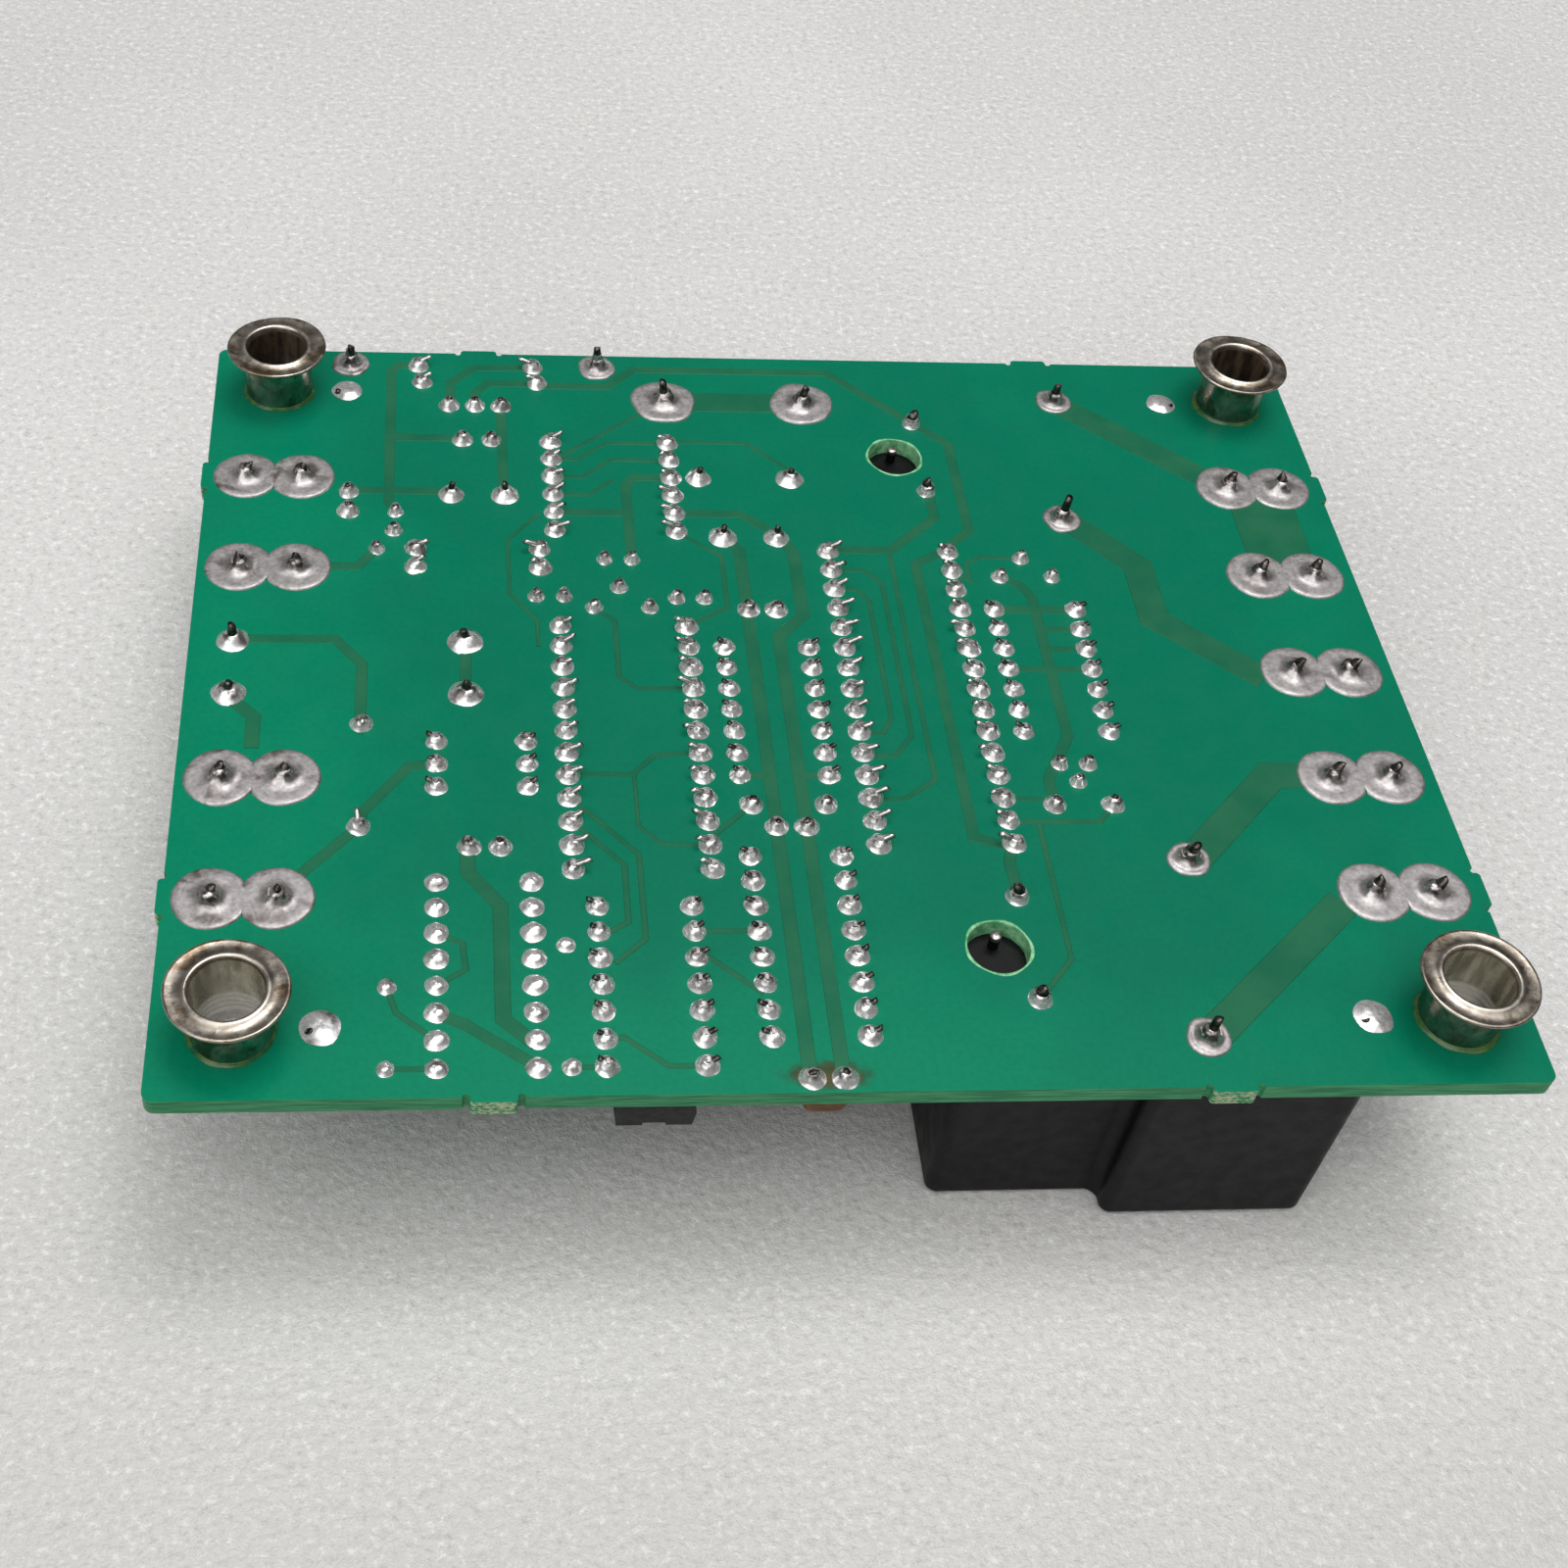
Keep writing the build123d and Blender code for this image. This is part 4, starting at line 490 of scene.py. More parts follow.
def add_joint(mesh, centre, radius, film, cone_radius, cone_height, apex_radius, sharp=1.8,
              swell=1.0, ripple=0.1, neighbour=0.0, segments=20):
    """A pad's solder: a thin film that climbs in a fillet to the lead. sharp hollows the climb
    and swell rounds it. neighbour is the signed distance along X to the other lobe of a double
    pad, and the two halves meet midway."""
    draws = draws_for(centre)
    waves = [(draws.uniform(0, math.tau), draws.uniform(0.6, 1.0)) for _ in range(4)]
    shift = Vector((draws.uniform(-1, 1), draws.uniform(-1, 1), 0)) * FILLET_SLIDE * radius
    rings = []

    def height(distance, room):
        rim = min(max(room / FILM_EDGE, 0.0), 1.0)
        lift = film * math.sqrt(1 - (1 - rim) ** 2) - FILM_SINK * (rim < 0.01)
        span = (distance - apex_radius) / (cone_radius - apex_radius)
        return lift + cone_height * (1 - min(max(span, 0.0), 1.0) ** swell) ** sharp

    reach = []
    for n in range(segments):
        angle = math.tau * n / segments
        wave = 1 + sum(OUTLINE_WAVE * size * math.sin((k + 2) * angle + turn)
                       for k, (turn, size) in enumerate(waves))
        wave = 1 + (wave - 1) * (DOUBLE_PAD_WAVE if neighbour else 1.0)
        far = radius * wave
        towards = math.cos(angle) * (1 if neighbour > 0 else -1)
        if neighbour and towards * far > abs(neighbour) / 2:
            reach.append((angle, far, abs(neighbour) / 2 / towards))
        else:
            reach.append((angle, far, far))
    stations = [("cone", share) for share in FILLET_SHARES]
    stations += [("film", share) for share in FILM_SHARES]
    for kind, share in stations:
        ring = []
        for angle, outline, limit in reach:
            if kind == "cone":
                distance = apex_radius + (min(cone_radius, limit) - apex_radius) * share
            else:
                start = min(cone_radius, limit)
                distance = start + (limit - start) * share
            tall = height(distance, outline - distance)
            lump = 1.0
            if kind == "cone":
                lump += ripple * share * (math.sin(2 * angle + waves[0][0])
                                          + 0.6 * math.sin(5 * angle + waves[1][0]))
            point = Vector((math.cos(angle), math.sin(angle), 0)) * distance
            slide = shift * (max(tall - film, 0) / cone_height)
            ring.append(centre + point + slide + Vector((0, 0, tall * lump)))
        rings.append(ring)
    add_rings(mesh, rings, cap_start=True)
    if not neighbour:
        foot = [Vector((point.x, point.y, SURFACE - WALL_SINK)) for point in rings[-1]]
        add_rings(mesh, [rings[-1], foot])


DARK, BRIGHT = 0, 1  # lead_ends' two materials: cut tips, darkened with painted shade, and clinched leads
TIP_STEPS = 6
TIP_SIDES = 10
TIP_BEND = 1.5  # a lead end leans over as this power of its length


def add_tip(mesh, centre, start, lean, rise, half_x, half_y, paint=DARK, taper=0.18):
    """A cut lead end that leaves its joint upright and bends over, with a slanted cut."""
    draws = draws_for(centre, 1)
    across = Vector((-lean.y, lean.x, 0)).normalized() if lean.length > 1e-9 else Vector((0, 1, 0))
    shares = [n / TIP_STEPS for n in range(TIP_STEPS + 1)]
    path = [centre + lean * share ** TIP_BEND + Vector((0, 0, start + rise * share))
            for share in shares]
    slant = draws.uniform(0.2, 0.6)
    turn = draws.uniform(0, math.tau)
    rings = []
    for n, (share, point) in enumerate(zip(shares, path)):
        along = (path[min(n + 1, TIP_STEPS)] - path[max(n - 1, 0)]).normalized()
        up = along.cross(across).normalized()
        squeeze = 1 - taper * share ** 2
        ring = []
        for k in range(TIP_SIDES):
            angle = math.tau * k / TIP_SIDES
            offset = across * math.cos(angle) * half_y + up * math.sin(angle) * half_x
            cut = along * (slant * half_x * math.cos(angle + turn)) if share == 1 else Vector()
            ring.append(point + offset * squeeze + cut)
        rings.append(ring)
    add_rings(mesh, rings, cap_start=True, cap_end=True, paint=paint)


# ---------------- solder joints and lead ends
CHIP_NODES = ("front_left_chip", "front_centre_chip", "centre_chip", "right_chip", "optocoupler")
RESISTOR_NODES = ("centre_resistors", "back_resistors", "right_resistors", "loose_resistors")
JOINT_SALT = 2  # tells the draws of a joint's size from those of its outline
CHIP_FILM = 0.05 * MM
CHIP_APEX = 0.26 * MM
CHIP_TIP_START = 0.36 * MM  # height at which a chip's tip leaves its joint
CHIP_PIN_HALF = (0.19 * MM, 0.29 * MM)
RESISTOR_SPAN = 4.5  # between a resistor's leads, in grid units
POWER_RESISTOR_SPAN = 8.0
LEAD_SEARCH = 0.4 * MM  # a joint this near a lead's place is that lead's
LEAD_FILM = 0.06 * MM
TIP_START = 0.4 * MM
CLINCHED_APEX = 0.34 * MM
CLINCHED_HALF = 0.28 * MM
LEAD_WANDER = 0.22 * MM  # how far a lead end may lean any way
FILLED_HOLE_HEIGHT = 0.6  # joints lower than this, in millimetres, hold no lead
LARGE_HOLE = 1.0  # radius above which a filled hole is one of the large ones
PIT_OFFSET = (0.8, 0.45)  # from a large filled hole's middle to its pit, a dark lump of painted shade
LEAD_SHAPES = {0.75: (0.26, 0.5), 0.9: (0.48, 0.95), 0.95: (0.31, 0.55), 1.2: (0.32, 1.0),
               1.4: (0.42, 1.25)}  # pad radius: lead's half width and rise, in millimetres
PAD_FILM = 0.18 * MM
PAD_GAP = 0.5 * MM  # a terminal pad longer than its width by this has two lobes
LOBE_CONE = (1.45 * MM, 0.95 * MM, 0.55 * MM)  # radius, height and radius at the apex
LOBE_TIP_HALF = (0.44 * MM, 0.62 * MM)
LARGE_PAD = 2.5 * MM
ROUND_CONE_RADII = (1.25 * MM, 1.7 * MM)  # on the tall pins and on the large pads
ROUND_CONE_HEIGHT = 1.1 * MM
ROUND_APEX = 0.6 * MM
ROUND_TIP_HALF = 0.42 * MM


def outward_of(centre, boxes):
    """1 or -1: on which side of its chip a pin stands, along X."""
    near = [(low, high) for low, high in boxes
            if low.y - GRID < centre.y < high.y + GRID and low.x - GRID < centre.x < high.x + GRID]
    low, high = (near or sorted(boxes, key=lambda box: (sum(box, Vector()) / 2 - centre).length))[0]
    return 1 if centre.x > (low.x + high.x) / 2 else -1


tips = bmesh.new()
joints = bmesh.new()
chip_boxes = [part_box(name) for name in CHIP_NODES]
for centre, half in islands("chip_solder"):
    place = Vector((centre.x, centre.y, SURFACE))
    draws = draws_for(place, JOINT_SALT)
    size = half.x * draws.uniform(1.04, 1.14)
    add_joint(joints, place, size, CHIP_FILM, size * 0.98, draws.uniform(0.66, 0.78) * MM,
              CHIP_APEX, sharp=draws.uniform(0.75, 0.9), swell=1.8, ripple=0.13)
    lean = Vector((outward_of(centre, chip_boxes) * draws.uniform(0.6, 0.9),
                   draws.uniform(0.1, 0.35), 0)) * MM
    # the chip's cut tip, in lead_end's painted shade, is drawn wide to stand for the shaded notch
    # beside the pin
    add_tip(tips, place, CHIP_TIP_START, lean, draws.uniform(0.42, 0.54) * MM, *CHIP_PIN_HALF)
chip_joints = add_piece("chip_joints", joints, [MATERIALS["solder"]])
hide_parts("chip_solder")

SPANS = {name: RESISTOR_SPAN for name in RESISTOR_NODES} | {"power_resistors": POWER_RESISTOR_SPAN}
clinched = []
for node, span in SPANS.items():
    for centre, half in islands(node):
        axis = Vector((1, 0, 0)) if half.x > half.y else Vector((0, 1, 0))
        for side in (-1, 1):
            clinched.append((centre + axis * side * span * GRID / 2, axis * -side, node))

joints = bmesh.new()
for centre, half in islands("lead_solder"):
    place = Vector((centre.x, centre.y, SURFACE))
    draws = draws_for(place, JOINT_SALT)
    radius, tall = half.x / MM, 2 * half.z / MM
    bend = next((item for item in clinched
                 if math.hypot(item[0].x - centre.x, item[0].y - centre.y) < LEAD_SEARCH), None)
    wander = Vector((draws.uniform(-1, 1), draws.uniform(-1, 1), 0))
    size = half.x * draws.uniform(0.97, 1.1)
    if tall < FILLED_HOLE_HEIGHT:
        add_joint(joints, place, size, LEAD_FILM, size * 0.95,
                  (0.3 if radius > LARGE_HOLE else 0.56) * MM, 0.12 * MM, sharp=0.7, swell=2.2,
                  ripple=0.13)
        if radius > LARGE_HOLE:
            # painted shade: a small dark lump stands for the shaded pit in the solder
            side, front = PIT_OFFSET
            pit = place + Vector((draws.choice((-side, side)), -front, 0)) * MM
            add_tip(tips, pit, 0.1 * MM, Vector(), 0.24 * MM, 0.36 * MM, 0.28 * MM)
        continue
    if bend and bend[2] != "power_resistors":
        add_joint(joints, place, size * 1.06, 0.05 * MM, size * 1.04, 0.8 * MM, CLINCHED_APEX,
                  sharp=draws.uniform(0.85, 1.05), swell=1.7, ripple=0.14)
        lean = bend[1] * draws.uniform(0.95, 1.35) * MM + wander * LEAD_WANDER
        add_tip(tips, place, TIP_START, lean, draws.uniform(0.55, 0.85) * MM, CLINCHED_HALF,
                CLINCHED_HALF, paint=BRIGHT)
        continue
    lead, rise = LEAD_SHAPES[round(radius, 2)]
    add_joint(joints, place, size * 1.06, LEAD_FILM, size * 1.03, 0.84 * MM, lead * 1.2 * MM,
              sharp=draws.uniform(1.0, 1.2), swell=1.4, ripple=0.16)
    add_tip(tips, place, TIP_START, wander * LEAD_WANDER, rise * draws.uniform(0.85, 1.15) * MM,
            lead * MM, lead * MM)
lead_joints = add_piece("lead_joints", joints, [MATERIALS["solder"]])
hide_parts("lead_solder")

joints = bmesh.new()
for centre, half in islands("terminal_solder"):
    radius = half.y
    lobes = [0.0] if half.x - half.y < PAD_GAP else [half.y - half.x, half.x - half.y]
    for offset in lobes:
        place = Vector((centre.x + offset, centre.y, SURFACE))
        draws = draws_for(place, JOINT_SALT)
        wander = Vector((draws.uniform(-1, 1), draws.uniform(-1, 1), 0))
        if len(lobes) == 2:
            add_joint(joints, place, radius, PAD_FILM, *LOBE_CONE, sharp=1.7, ripple=0.22,
                      neighbour=-2 * offset, segments=48)
            right = place.x > 0
            lean = Vector((0.45 if right else 0.15, 0.2, 0)) * MM + wander * 0.18 * MM
            add_tip(tips, place, TIP_START, lean, (1.3 if right else 1.0) * MM, *LOBE_TIP_HALF,
                    taper=0.5)
        else:
            cone = ROUND_CONE_RADII[radius >= LARGE_PAD]
            add_joint(joints, place, radius, PAD_FILM, cone, ROUND_CONE_HEIGHT, ROUND_APEX,
                      sharp=1.7, ripple=0.2, segments=40)
            add_tip(tips, place, 0.5 * MM, wander * 0.3 * MM, draws.uniform(1.7, 2.1) * MM,
                    ROUND_TIP_HALF, ROUND_TIP_HALF)
terminal_joints = add_piece("terminal_joints", joints, [MATERIALS["pad_solder"]])
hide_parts("terminal_solder")
add_piece("lead_ends", tips, [MATERIALS["lead_end"], MATERIALS["clinched_end"]])


# ---------------- tracks under the mask
FINE, MIDDLE, BROAD = 0.15, 0.35, 1.1  # widths, in grid units
TRACK_SLOPE = 0.09 * MM  # how wide a strip's sloping side is
TRACK_SINK = 0.01 * MM
TRACK_HEIGHT, TRACK_STEP = 0.03, 0.0006  # in millimetres; each track a little higher
SHARPEST_MITRE = 0.4
TRACKS = (  # width, then the bends as grid positions from the front left corner
    (MIDDLE, ((7.8, 34.05), (7.05, 34.05), (6.75, 33.7), (6.75, 25.9), (7, 25.5))),
    (MIDDLE, ((6.75, 29.65), (9.5, 29.65))),
    (MIDDLE, ((5.25, 26.6), (9, 26.6))),
    (MIDDLE, ((9.05, 31.6), (9.05, 33), (10, 33.95), (12.3, 34))),
    (MIDDLE, ((10, 31.6), (10, 32.4), (10.5, 33), (12.3, 33))),
    (MIDDLE, ((12.4, 32.9), (15.2, 32.9), (16.3, 34), (24.1, 34), (28.4, 29.7), (28.4, 24.7),
              (27.3, 23.7))),
    (MIDDLE, ((11, 31.6), (11, 26.5))),
    (BROAD, ((18.4, 32.05), (21.9, 32.05))),
    (FINE, ((13.1, 28.6), (16.2, 31.1), (17.2, 31.9))),
    (FINE, ((12.9, 28.5), (13.8, 28.5), (15, 29.5), (17.3, 29.5))),
    (FINE, ((12.9, 27.5), (14, 27.5), (15.1, 28.5), (17.3, 28.5))),
    (FINE, ((12.9, 26.5), (14.2, 26.5), (15.2, 27.4))),
    (FINE, ((17.35, 29.6), (20.4, 29.6), (21.9, 28.1))),
    (MIDDLE, ((12.9, 25.5), (15.6, 25.5))),
    (MIDDLE, ((17.3, 27.5), (15.9, 27.5), (15.6, 27), (15.6, 23.1))),
    (MIDDLE, ((17.25, 25.5), (19.8, 25.5), (21.1, 24.4))),
    (FINE, ((17.3, 24.5), (18.9, 23.2), (18.9, 20.5), (17.3, 19.5))),
    (0.42, ((19.1, 24.2), (19.6, 23.5), (19.6, 0.5))),
    (0.42, ((21.2, 24.2), (21.6, 23.4), (21.6, 20.1), (20.6, 19.1), (20.6, 0.5))),
    (MIDDLE, ((27.2, 26.7), (27.2, 25.4), (25.25, 23.6), (23.2, 23.6))),
    (FINE, ((25.2, 23.6), (25.2, 12.3), (24.1, 11.5), (23.2, 11.4))),
    (FINE, ((23.2, 22.5), (24.1, 22.5), (24.7, 21.8), (24.7, 14.3), (24, 13.4), (23.2, 13.4))),
    (FINE, ((23.2, 21.5), (23.7, 21.5), (24.1, 20.9), (24.1, 15.1), (23.7, 14.4), (23.2, 14.4))),
    (MIDDLE, ((27.2, 23.5), (26.1, 22.9), (26.1, 9.8), (27.2, 9.4))),
    (MIDDLE, ((29.2, 22.2), (29.8, 21.8), (30.15, 21.2), (30.15, 14.3), (29.1, 12.3),
              (29.1, 11.3))),
    (MIDDLE, ((28.65, 20.5), (31.65, 20.5))),
    (0.25, ((30.15, 19.5), (31.65, 19.5))),
    (0.25, ((30.15, 18.5), (31.65, 18.5))),
    (0.25, ((28.65, 17.5), (31.65, 17.5))),
    (FINE, ((27.35, 22.5), (28, 22), (28, 22.9), (28.6, 23.3), (30.1, 23.2))),
    (FINE, ((27.3, 11.5), (29.1, 11.4))),
    (FINE, ((27.3, 10.45), (30.5, 10.45), (31.1, 11.2))),
    (FINE, ((28.4, 10.45), (28.4, 4.8), (27.2, 3.4))),
    (MIDDLE, ((27.3, 9.4), (27.1, 8.7), (27.2, 7.3))),
    (MIDDLE, ((1.45, 18.8), (5, 18.8), (5.95, 17.6), (5.95, 14.8))),
    (0.45, ((1.45, 16.1), (2.4, 15.1), (2.4, 13.7))),
    (MIDDLE, ((9.5, 18.7), (9.5, 16.3))),
    (MIDDLE, ((8.45, 13), (7.6, 12.9), (6.1, 10.9), (6, 10.3), (4, 8.1))),
    (MIDDLE, ((4.7, 22.5), (5.7, 22.5), (6.35, 23.4))),
    (0.45, ((9.5, 9.4), (9.5, 8.4), (10.5, 7.05), (10.5, 2.75), (11.5, 1.8))),
    (FINE, ((7, 3.9), (7.3, 3), (8.45, 2.05))),
    (FINE, ((7, 1), (8.5, 1))),
    (MIDDLE, ((8.6, 2.9), (9.3, 2.6), (11.4, 1.1))),
    (FINE, ((8.5, 6), (9.3, 5.6), (9.4, 4.6), (8.5, 4))),
    (FINE, ((12.5, 1), (13.6, 1))),
    (FINE, ((13.6, 1.95), (14.1, 2.05), (15.4, 1), (16.5, 1))),
    (FINE, ((12.9, 11.5), (15, 9.1), (15, 5.7), (14, 4.8))),
    (FINE, ((12.9, 10.5), (14.5, 8.7), (14.5, 6.4), (13.9, 6))),
    (FINE, ((12.9, 12.55), (15, 12.55), (15.8, 13.4), (17, 13.5))),
    (0.1, ((15.05, 12.55), (15.05, 10.3), (15.8, 9.55), (17.2, 9.5))),
    (FINE, ((14.1, 20.4), (14.8, 19.8), (14.8, 17.05), (15.4, 16.5), (17.1, 16.5))),
    (0.1, ((12.3, 25.4), (11.1, 24), (11.1, 21.1), (12.05, 19.8), (12.05, 18.5))),
    (FINE, ((16.55, 6), (18.5, 6))),
    (FINE, ((16.8, 5.1), (18.5, 3.6))),
    (0.25, ((18.6, 12.5), (19.6, 12.5))),
    (0.25, ((20.6, 12.5), (21.6, 12.5))),
    (FINE, ((18.85, 11.2), (17.3, 9.7))),
    (BROAD, ((33.15, 32.35), (38.3, 27.85))),
    (BROAD, ((32.25, 25.4), (34.5, 22.9), (34.5, 20.1), (37.9, 17.1))),
    (BROAD, ((33.2, 8.7), (36.9, 12.5), (37.9, 12.5))),
    (BROAD, ((32.2, 1.8), (37.9, 7))),
    (2.5, ((40.15, 26.9), (40.15, 22.9))),
)


def add_track(mesh, points, width, height):
    """A raised strip with sloping sides along mitred runs."""
    sink = Vector((0, 0, -TRACK_SINK))
    lift = Vector((0, 0, height))
    half = width / 2
    rows = []
    for n, point in enumerate(points):
        before = (point - points[n - 1]).normalized() if n else None
        after = (points[n + 1] - point).normalized() if n + 1 < len(points) else None
        one, two = before or after, after or before
        sides = [Vector((-way.y, way.x, 0)) for way in (one, two)]
        out = (sides[0] + sides[1]).normalized()
        out = out / max(out.dot(sides[0]), SHARPEST_MITRE)
        rows.append([point + out * (half + TRACK_SLOPE) + sink, point + out * half + lift,
                     point - out * half + lift, point - out * (half + TRACK_SLOPE) + sink])
    made = [[mesh.verts.new(place) for place in row] for row in rows]
    for near, far in zip(made, made[1:]):
        for n in range(4):
            mesh.faces.new((near[n], near[(n + 1) % 4], far[(n + 1) % 4], far[n]))
    mesh.faces.new(made[0])
    mesh.faces.new(made[-1])


tracks = bmesh.new()
for order, (width, places) in enumerate(TRACKS):
    add_track(tracks, [spot(*place) for place in places], width * GRID,
              (TRACK_HEIGHT + TRACK_STEP * order) * MM)
add_piece("copper_tracks", tracks, [MATERIALS["masked_copper"]], flat=True)


# ---------------- eyelets
def eyelet_profile(top, low_face):
    """The rolled tube as (radius, height) pairs in millimetres, up its ridged bore, over the
    flange, down the outside and round the foot."""
    ridges = [(radius, low_face + start + rise)
              for start, narrow in ((0.4, 2.64), (1.02, 2.64), (1.64, 2.64), (2.26, 2.66))
              for radius, rise in ((2.76, 0.0), (narrow, 0.22), (2.76, 0.44))]
    return (
        (2.75, low_face - 0.8), *ridges, (2.75, low_face + 3.0),
        (2.75, top - 2.0), (2.76, top - 0.9), (2.8, top - 0.35), (2.9, top - 0.12),
        (3.04, top - 0.01), (3.2, top - 0.02), (3.34, top - 0.1), (3.5, top - 0.17),
        (3.8, top - 0.21), (4.15, top - 0.2), (4.45, top - 0.14), (4.62, top - 0.1),
        (4.72, top - 0.16), (4.75, top - 0.26), (4.7, top - 0.38), (4.5, top - 0.45),
        (4.1, top - 0.48), (3.7, top - 0.56), (3.4, top - 0.72), (3.24, top - 1.0),
        (3.17, top - 1.5), (3.17, top - 3.2), (3.17, low_face + 1.6), (3.17, low_face),
        (3.5, low_face), (3.85, low_face - 0.1), (3.95, low_face - 0.35),
        (3.88, low_face - 0.62), (3.6, low_face - 0.79), (3.1, low_face - 0.8),
    )


FLARE_START, FLARE_WIDTH = 3.3, 1.4  # where the flange spreads, in millimetres


def add_eyelet(mesh, centre, segments=96):
    """A rolled stand-off whose flange is a little uneven round its rim."""
    draws = draws_for(centre)
    phases = [draws.uniform(0, math.tau) for _ in range(5)]
    top = FLANGE_TOP / MM
    rings = []
    for radius, height in eyelet_profile(top, UNDERSIDE / MM):
        ring = []
        for n in range(segments):
            angle = math.tau * n / segments
            flare = 0.0
            if height > top - 1:
                flare = min(max((radius - FLARE_START) / FLARE_WIDTH, 0.0), 1.0)
            wave = math.sin(2 * angle + phases[0]) + 0.6 * math.sin(3 * angle + phases[1])
            nick = 0.35 * math.sin(7 * angle + phases[2]) + 0.25 * math.sin(11 * angle + phases[3])
            reach = radius - flare * (0.045 + 0.03 * wave + 0.02 * nick)
            dish = -flare * (0.06 + 0.05 * wave + 0.02 * math.sin(5 * angle + phases[4]))
            ring.append(Vector((centre.x + reach * MM * math.cos(angle),
                                centre.y + reach * MM * math.sin(angle),
                                min(height + dish, top) * MM)))
        rings.append(ring)
    add_rings(mesh, rings, closed=True)


FLUX_REACH, FLUX_SPREAD = 3.16, 0.32  # in millimetres
FLUX_PROFILE = ((0.0, 0.34), (0.25, 0.2), (0.5, 0.11), (0.8, 0.05), (1.0, -0.02))


def add_flux_ring(mesh, centre, segments=72):
    """The glassy ring of flux and solder at a stand-off's foot."""
    draws = draws_for(centre, 3)
    phases = [draws.uniform(0, math.tau) for _ in range(3)]
    rings = []
    for share, lift in FLUX_PROFILE:
        ring = []
        for n in range(segments):
            angle = math.tau * n / segments
            wave = 1 + 0.3 * math.sin(angle + phases[0]) + 0.2 * math.sin(3 * angle + phases[1])
            wave += 0.12 * math.sin(8 * angle + phases[2])
            reach = (FLUX_REACH + FLUX_SPREAD * share * wave) * MM
            ring.append(Vector((centre.x + reach * math.cos(angle),
                                centre.y + reach * math.sin(angle), SURFACE + lift * MM)))
        rings.append(ring)
    bottom = [Vector((centre.x + (point.x - centre.x) * 0.99,
                      centre.y + (point.y - centre.y) * 0.99, SURFACE - 0.02 * MM))
              for point in rings[0]]
    rings.append(bottom)
    add_rings(mesh, rings, closed=True)


EYELETS = ("front_left_eyelet", "front_right_eyelet", "back_left_eyelet", "back_right_eyelet")
flux_rings = bmesh.new()
for name in EYELETS:
    low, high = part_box(name)
    shell = bmesh.new()
    add_eyelet(shell, (low + high) / 2)
    piece = add_piece(f"{name}_shell", shell, [MATERIALS["eyelet_nickel"]])
    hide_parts(name)
    add_flux_ring(flux_rings, (low + high) / 2)
flux_piece = add_piece("eyelet_flux_rings", flux_rings, [MATERIALS["flux"]])
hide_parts("eyelet_solder_rings")


# ---------------- vent rims and flux stains
VENT_X = 12.2 * MM
VENT_RADIUS = 2.57 * MM
PEG_BACK = 1.3 * MM  # the relay's peg stands this far behind the vent's middle
RIM_PROFILE = ((-0.03, -1.6), (-0.02, -0.12), (0.0, 0.0), (0.06, 0.035), (0.16, 0.03),
               (0.24, -0.01))  # reach past the vent's radius and lift, in millimetres
RIM_SEGMENTS = 96
PEG_PROFILE = ((0.47, -0.4), (0.48, 0.0), (0.4, 0.07), (0.2, 0.1))
PEG_SEGMENTS = 24
PATCH_SHARES = (0.02, 0.4, 0.7, 0.88, 1.0)
PATCH_LIFT = 0.012 * MM


def add_patch(mesh, centre, reach_x, reach_y, lift, segments=64):
    """A thin stain with a ragged outline, lying on the board."""
    draws = draws_for(centre, 5)
    phases = [draws.uniform(0, math.tau) for _ in range(4)]
    rings = []
    waves = ((0.1, 2), (0.08, 3), (0.05, 7), (0.03, 13))  # size and turns round the outline
    for share in PATCH_SHARES:
        ring = []
        for n in range(segments):
            angle = math.tau * n / segments
            wave = 1 + sum(size * math.sin(turns * angle + phase)
                           for (size, turns), phase in zip(waves, phases))
            height = lift * (1 - share ** 3)
            ring.append(Vector((centre.x + reach_x * share * wave * math.cos(angle),
                                centre.y + reach_y * share * wave * math.sin(angle),
                                SURFACE + height + 0.002 * MM)))
        rings.append(ring)
    add_rings(mesh, rings, cap_start=True)


rims = bmesh.new()
caps = bmesh.new()
for relay in ("front_relay", "back_relay"):
    low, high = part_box(f"{relay}_case")
    vent = Vector((VENT_X, (low.y + high.y) / 2, SURFACE))
    turn = draws_for(vent).uniform(0, math.tau)
    rings = []
    for reach, lift in RIM_PROFILE:
        ring = []
        for n in range(RIM_SEGMENTS):
            angle = math.tau * n / RIM_SEGMENTS
            radius = VENT_RADIUS + reach * MM * (1 + 0.3 * math.sin(3 * n / 9 + turn))
            ring.append(vent + Vector((radius * math.cos(angle), radius * math.sin(angle),
                                       lift * MM)))
        rings.append(ring)
    add_rings(rims, rings)

    peg = Vector((vent.x, vent.y + PEG_BACK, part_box(f"{relay}_base")[1].z))
    angles = [math.tau * n / PEG_SEGMENTS for n in range(PEG_SEGMENTS)]
    rings = [[peg + Vector((reach * math.cos(angle), reach * math.sin(angle), lift)) * MM
              for angle in angles] for reach, lift in PEG_PROFILE]
    add_rings(caps, rings, cap_start=True, cap_end=True)
add_piece("vent_rims", rims, [MATERIALS["bare_laminate"]])
add_piece("vent_peg_caps", caps, [MATERIALS["clinched_end"]])

stains = bmesh.new()
add_patch(stains, STAIN, *STAIN_REACH, PATCH_LIFT)
add_piece("flux_stains", stains, [MATERIALS["burnt_flux"]])


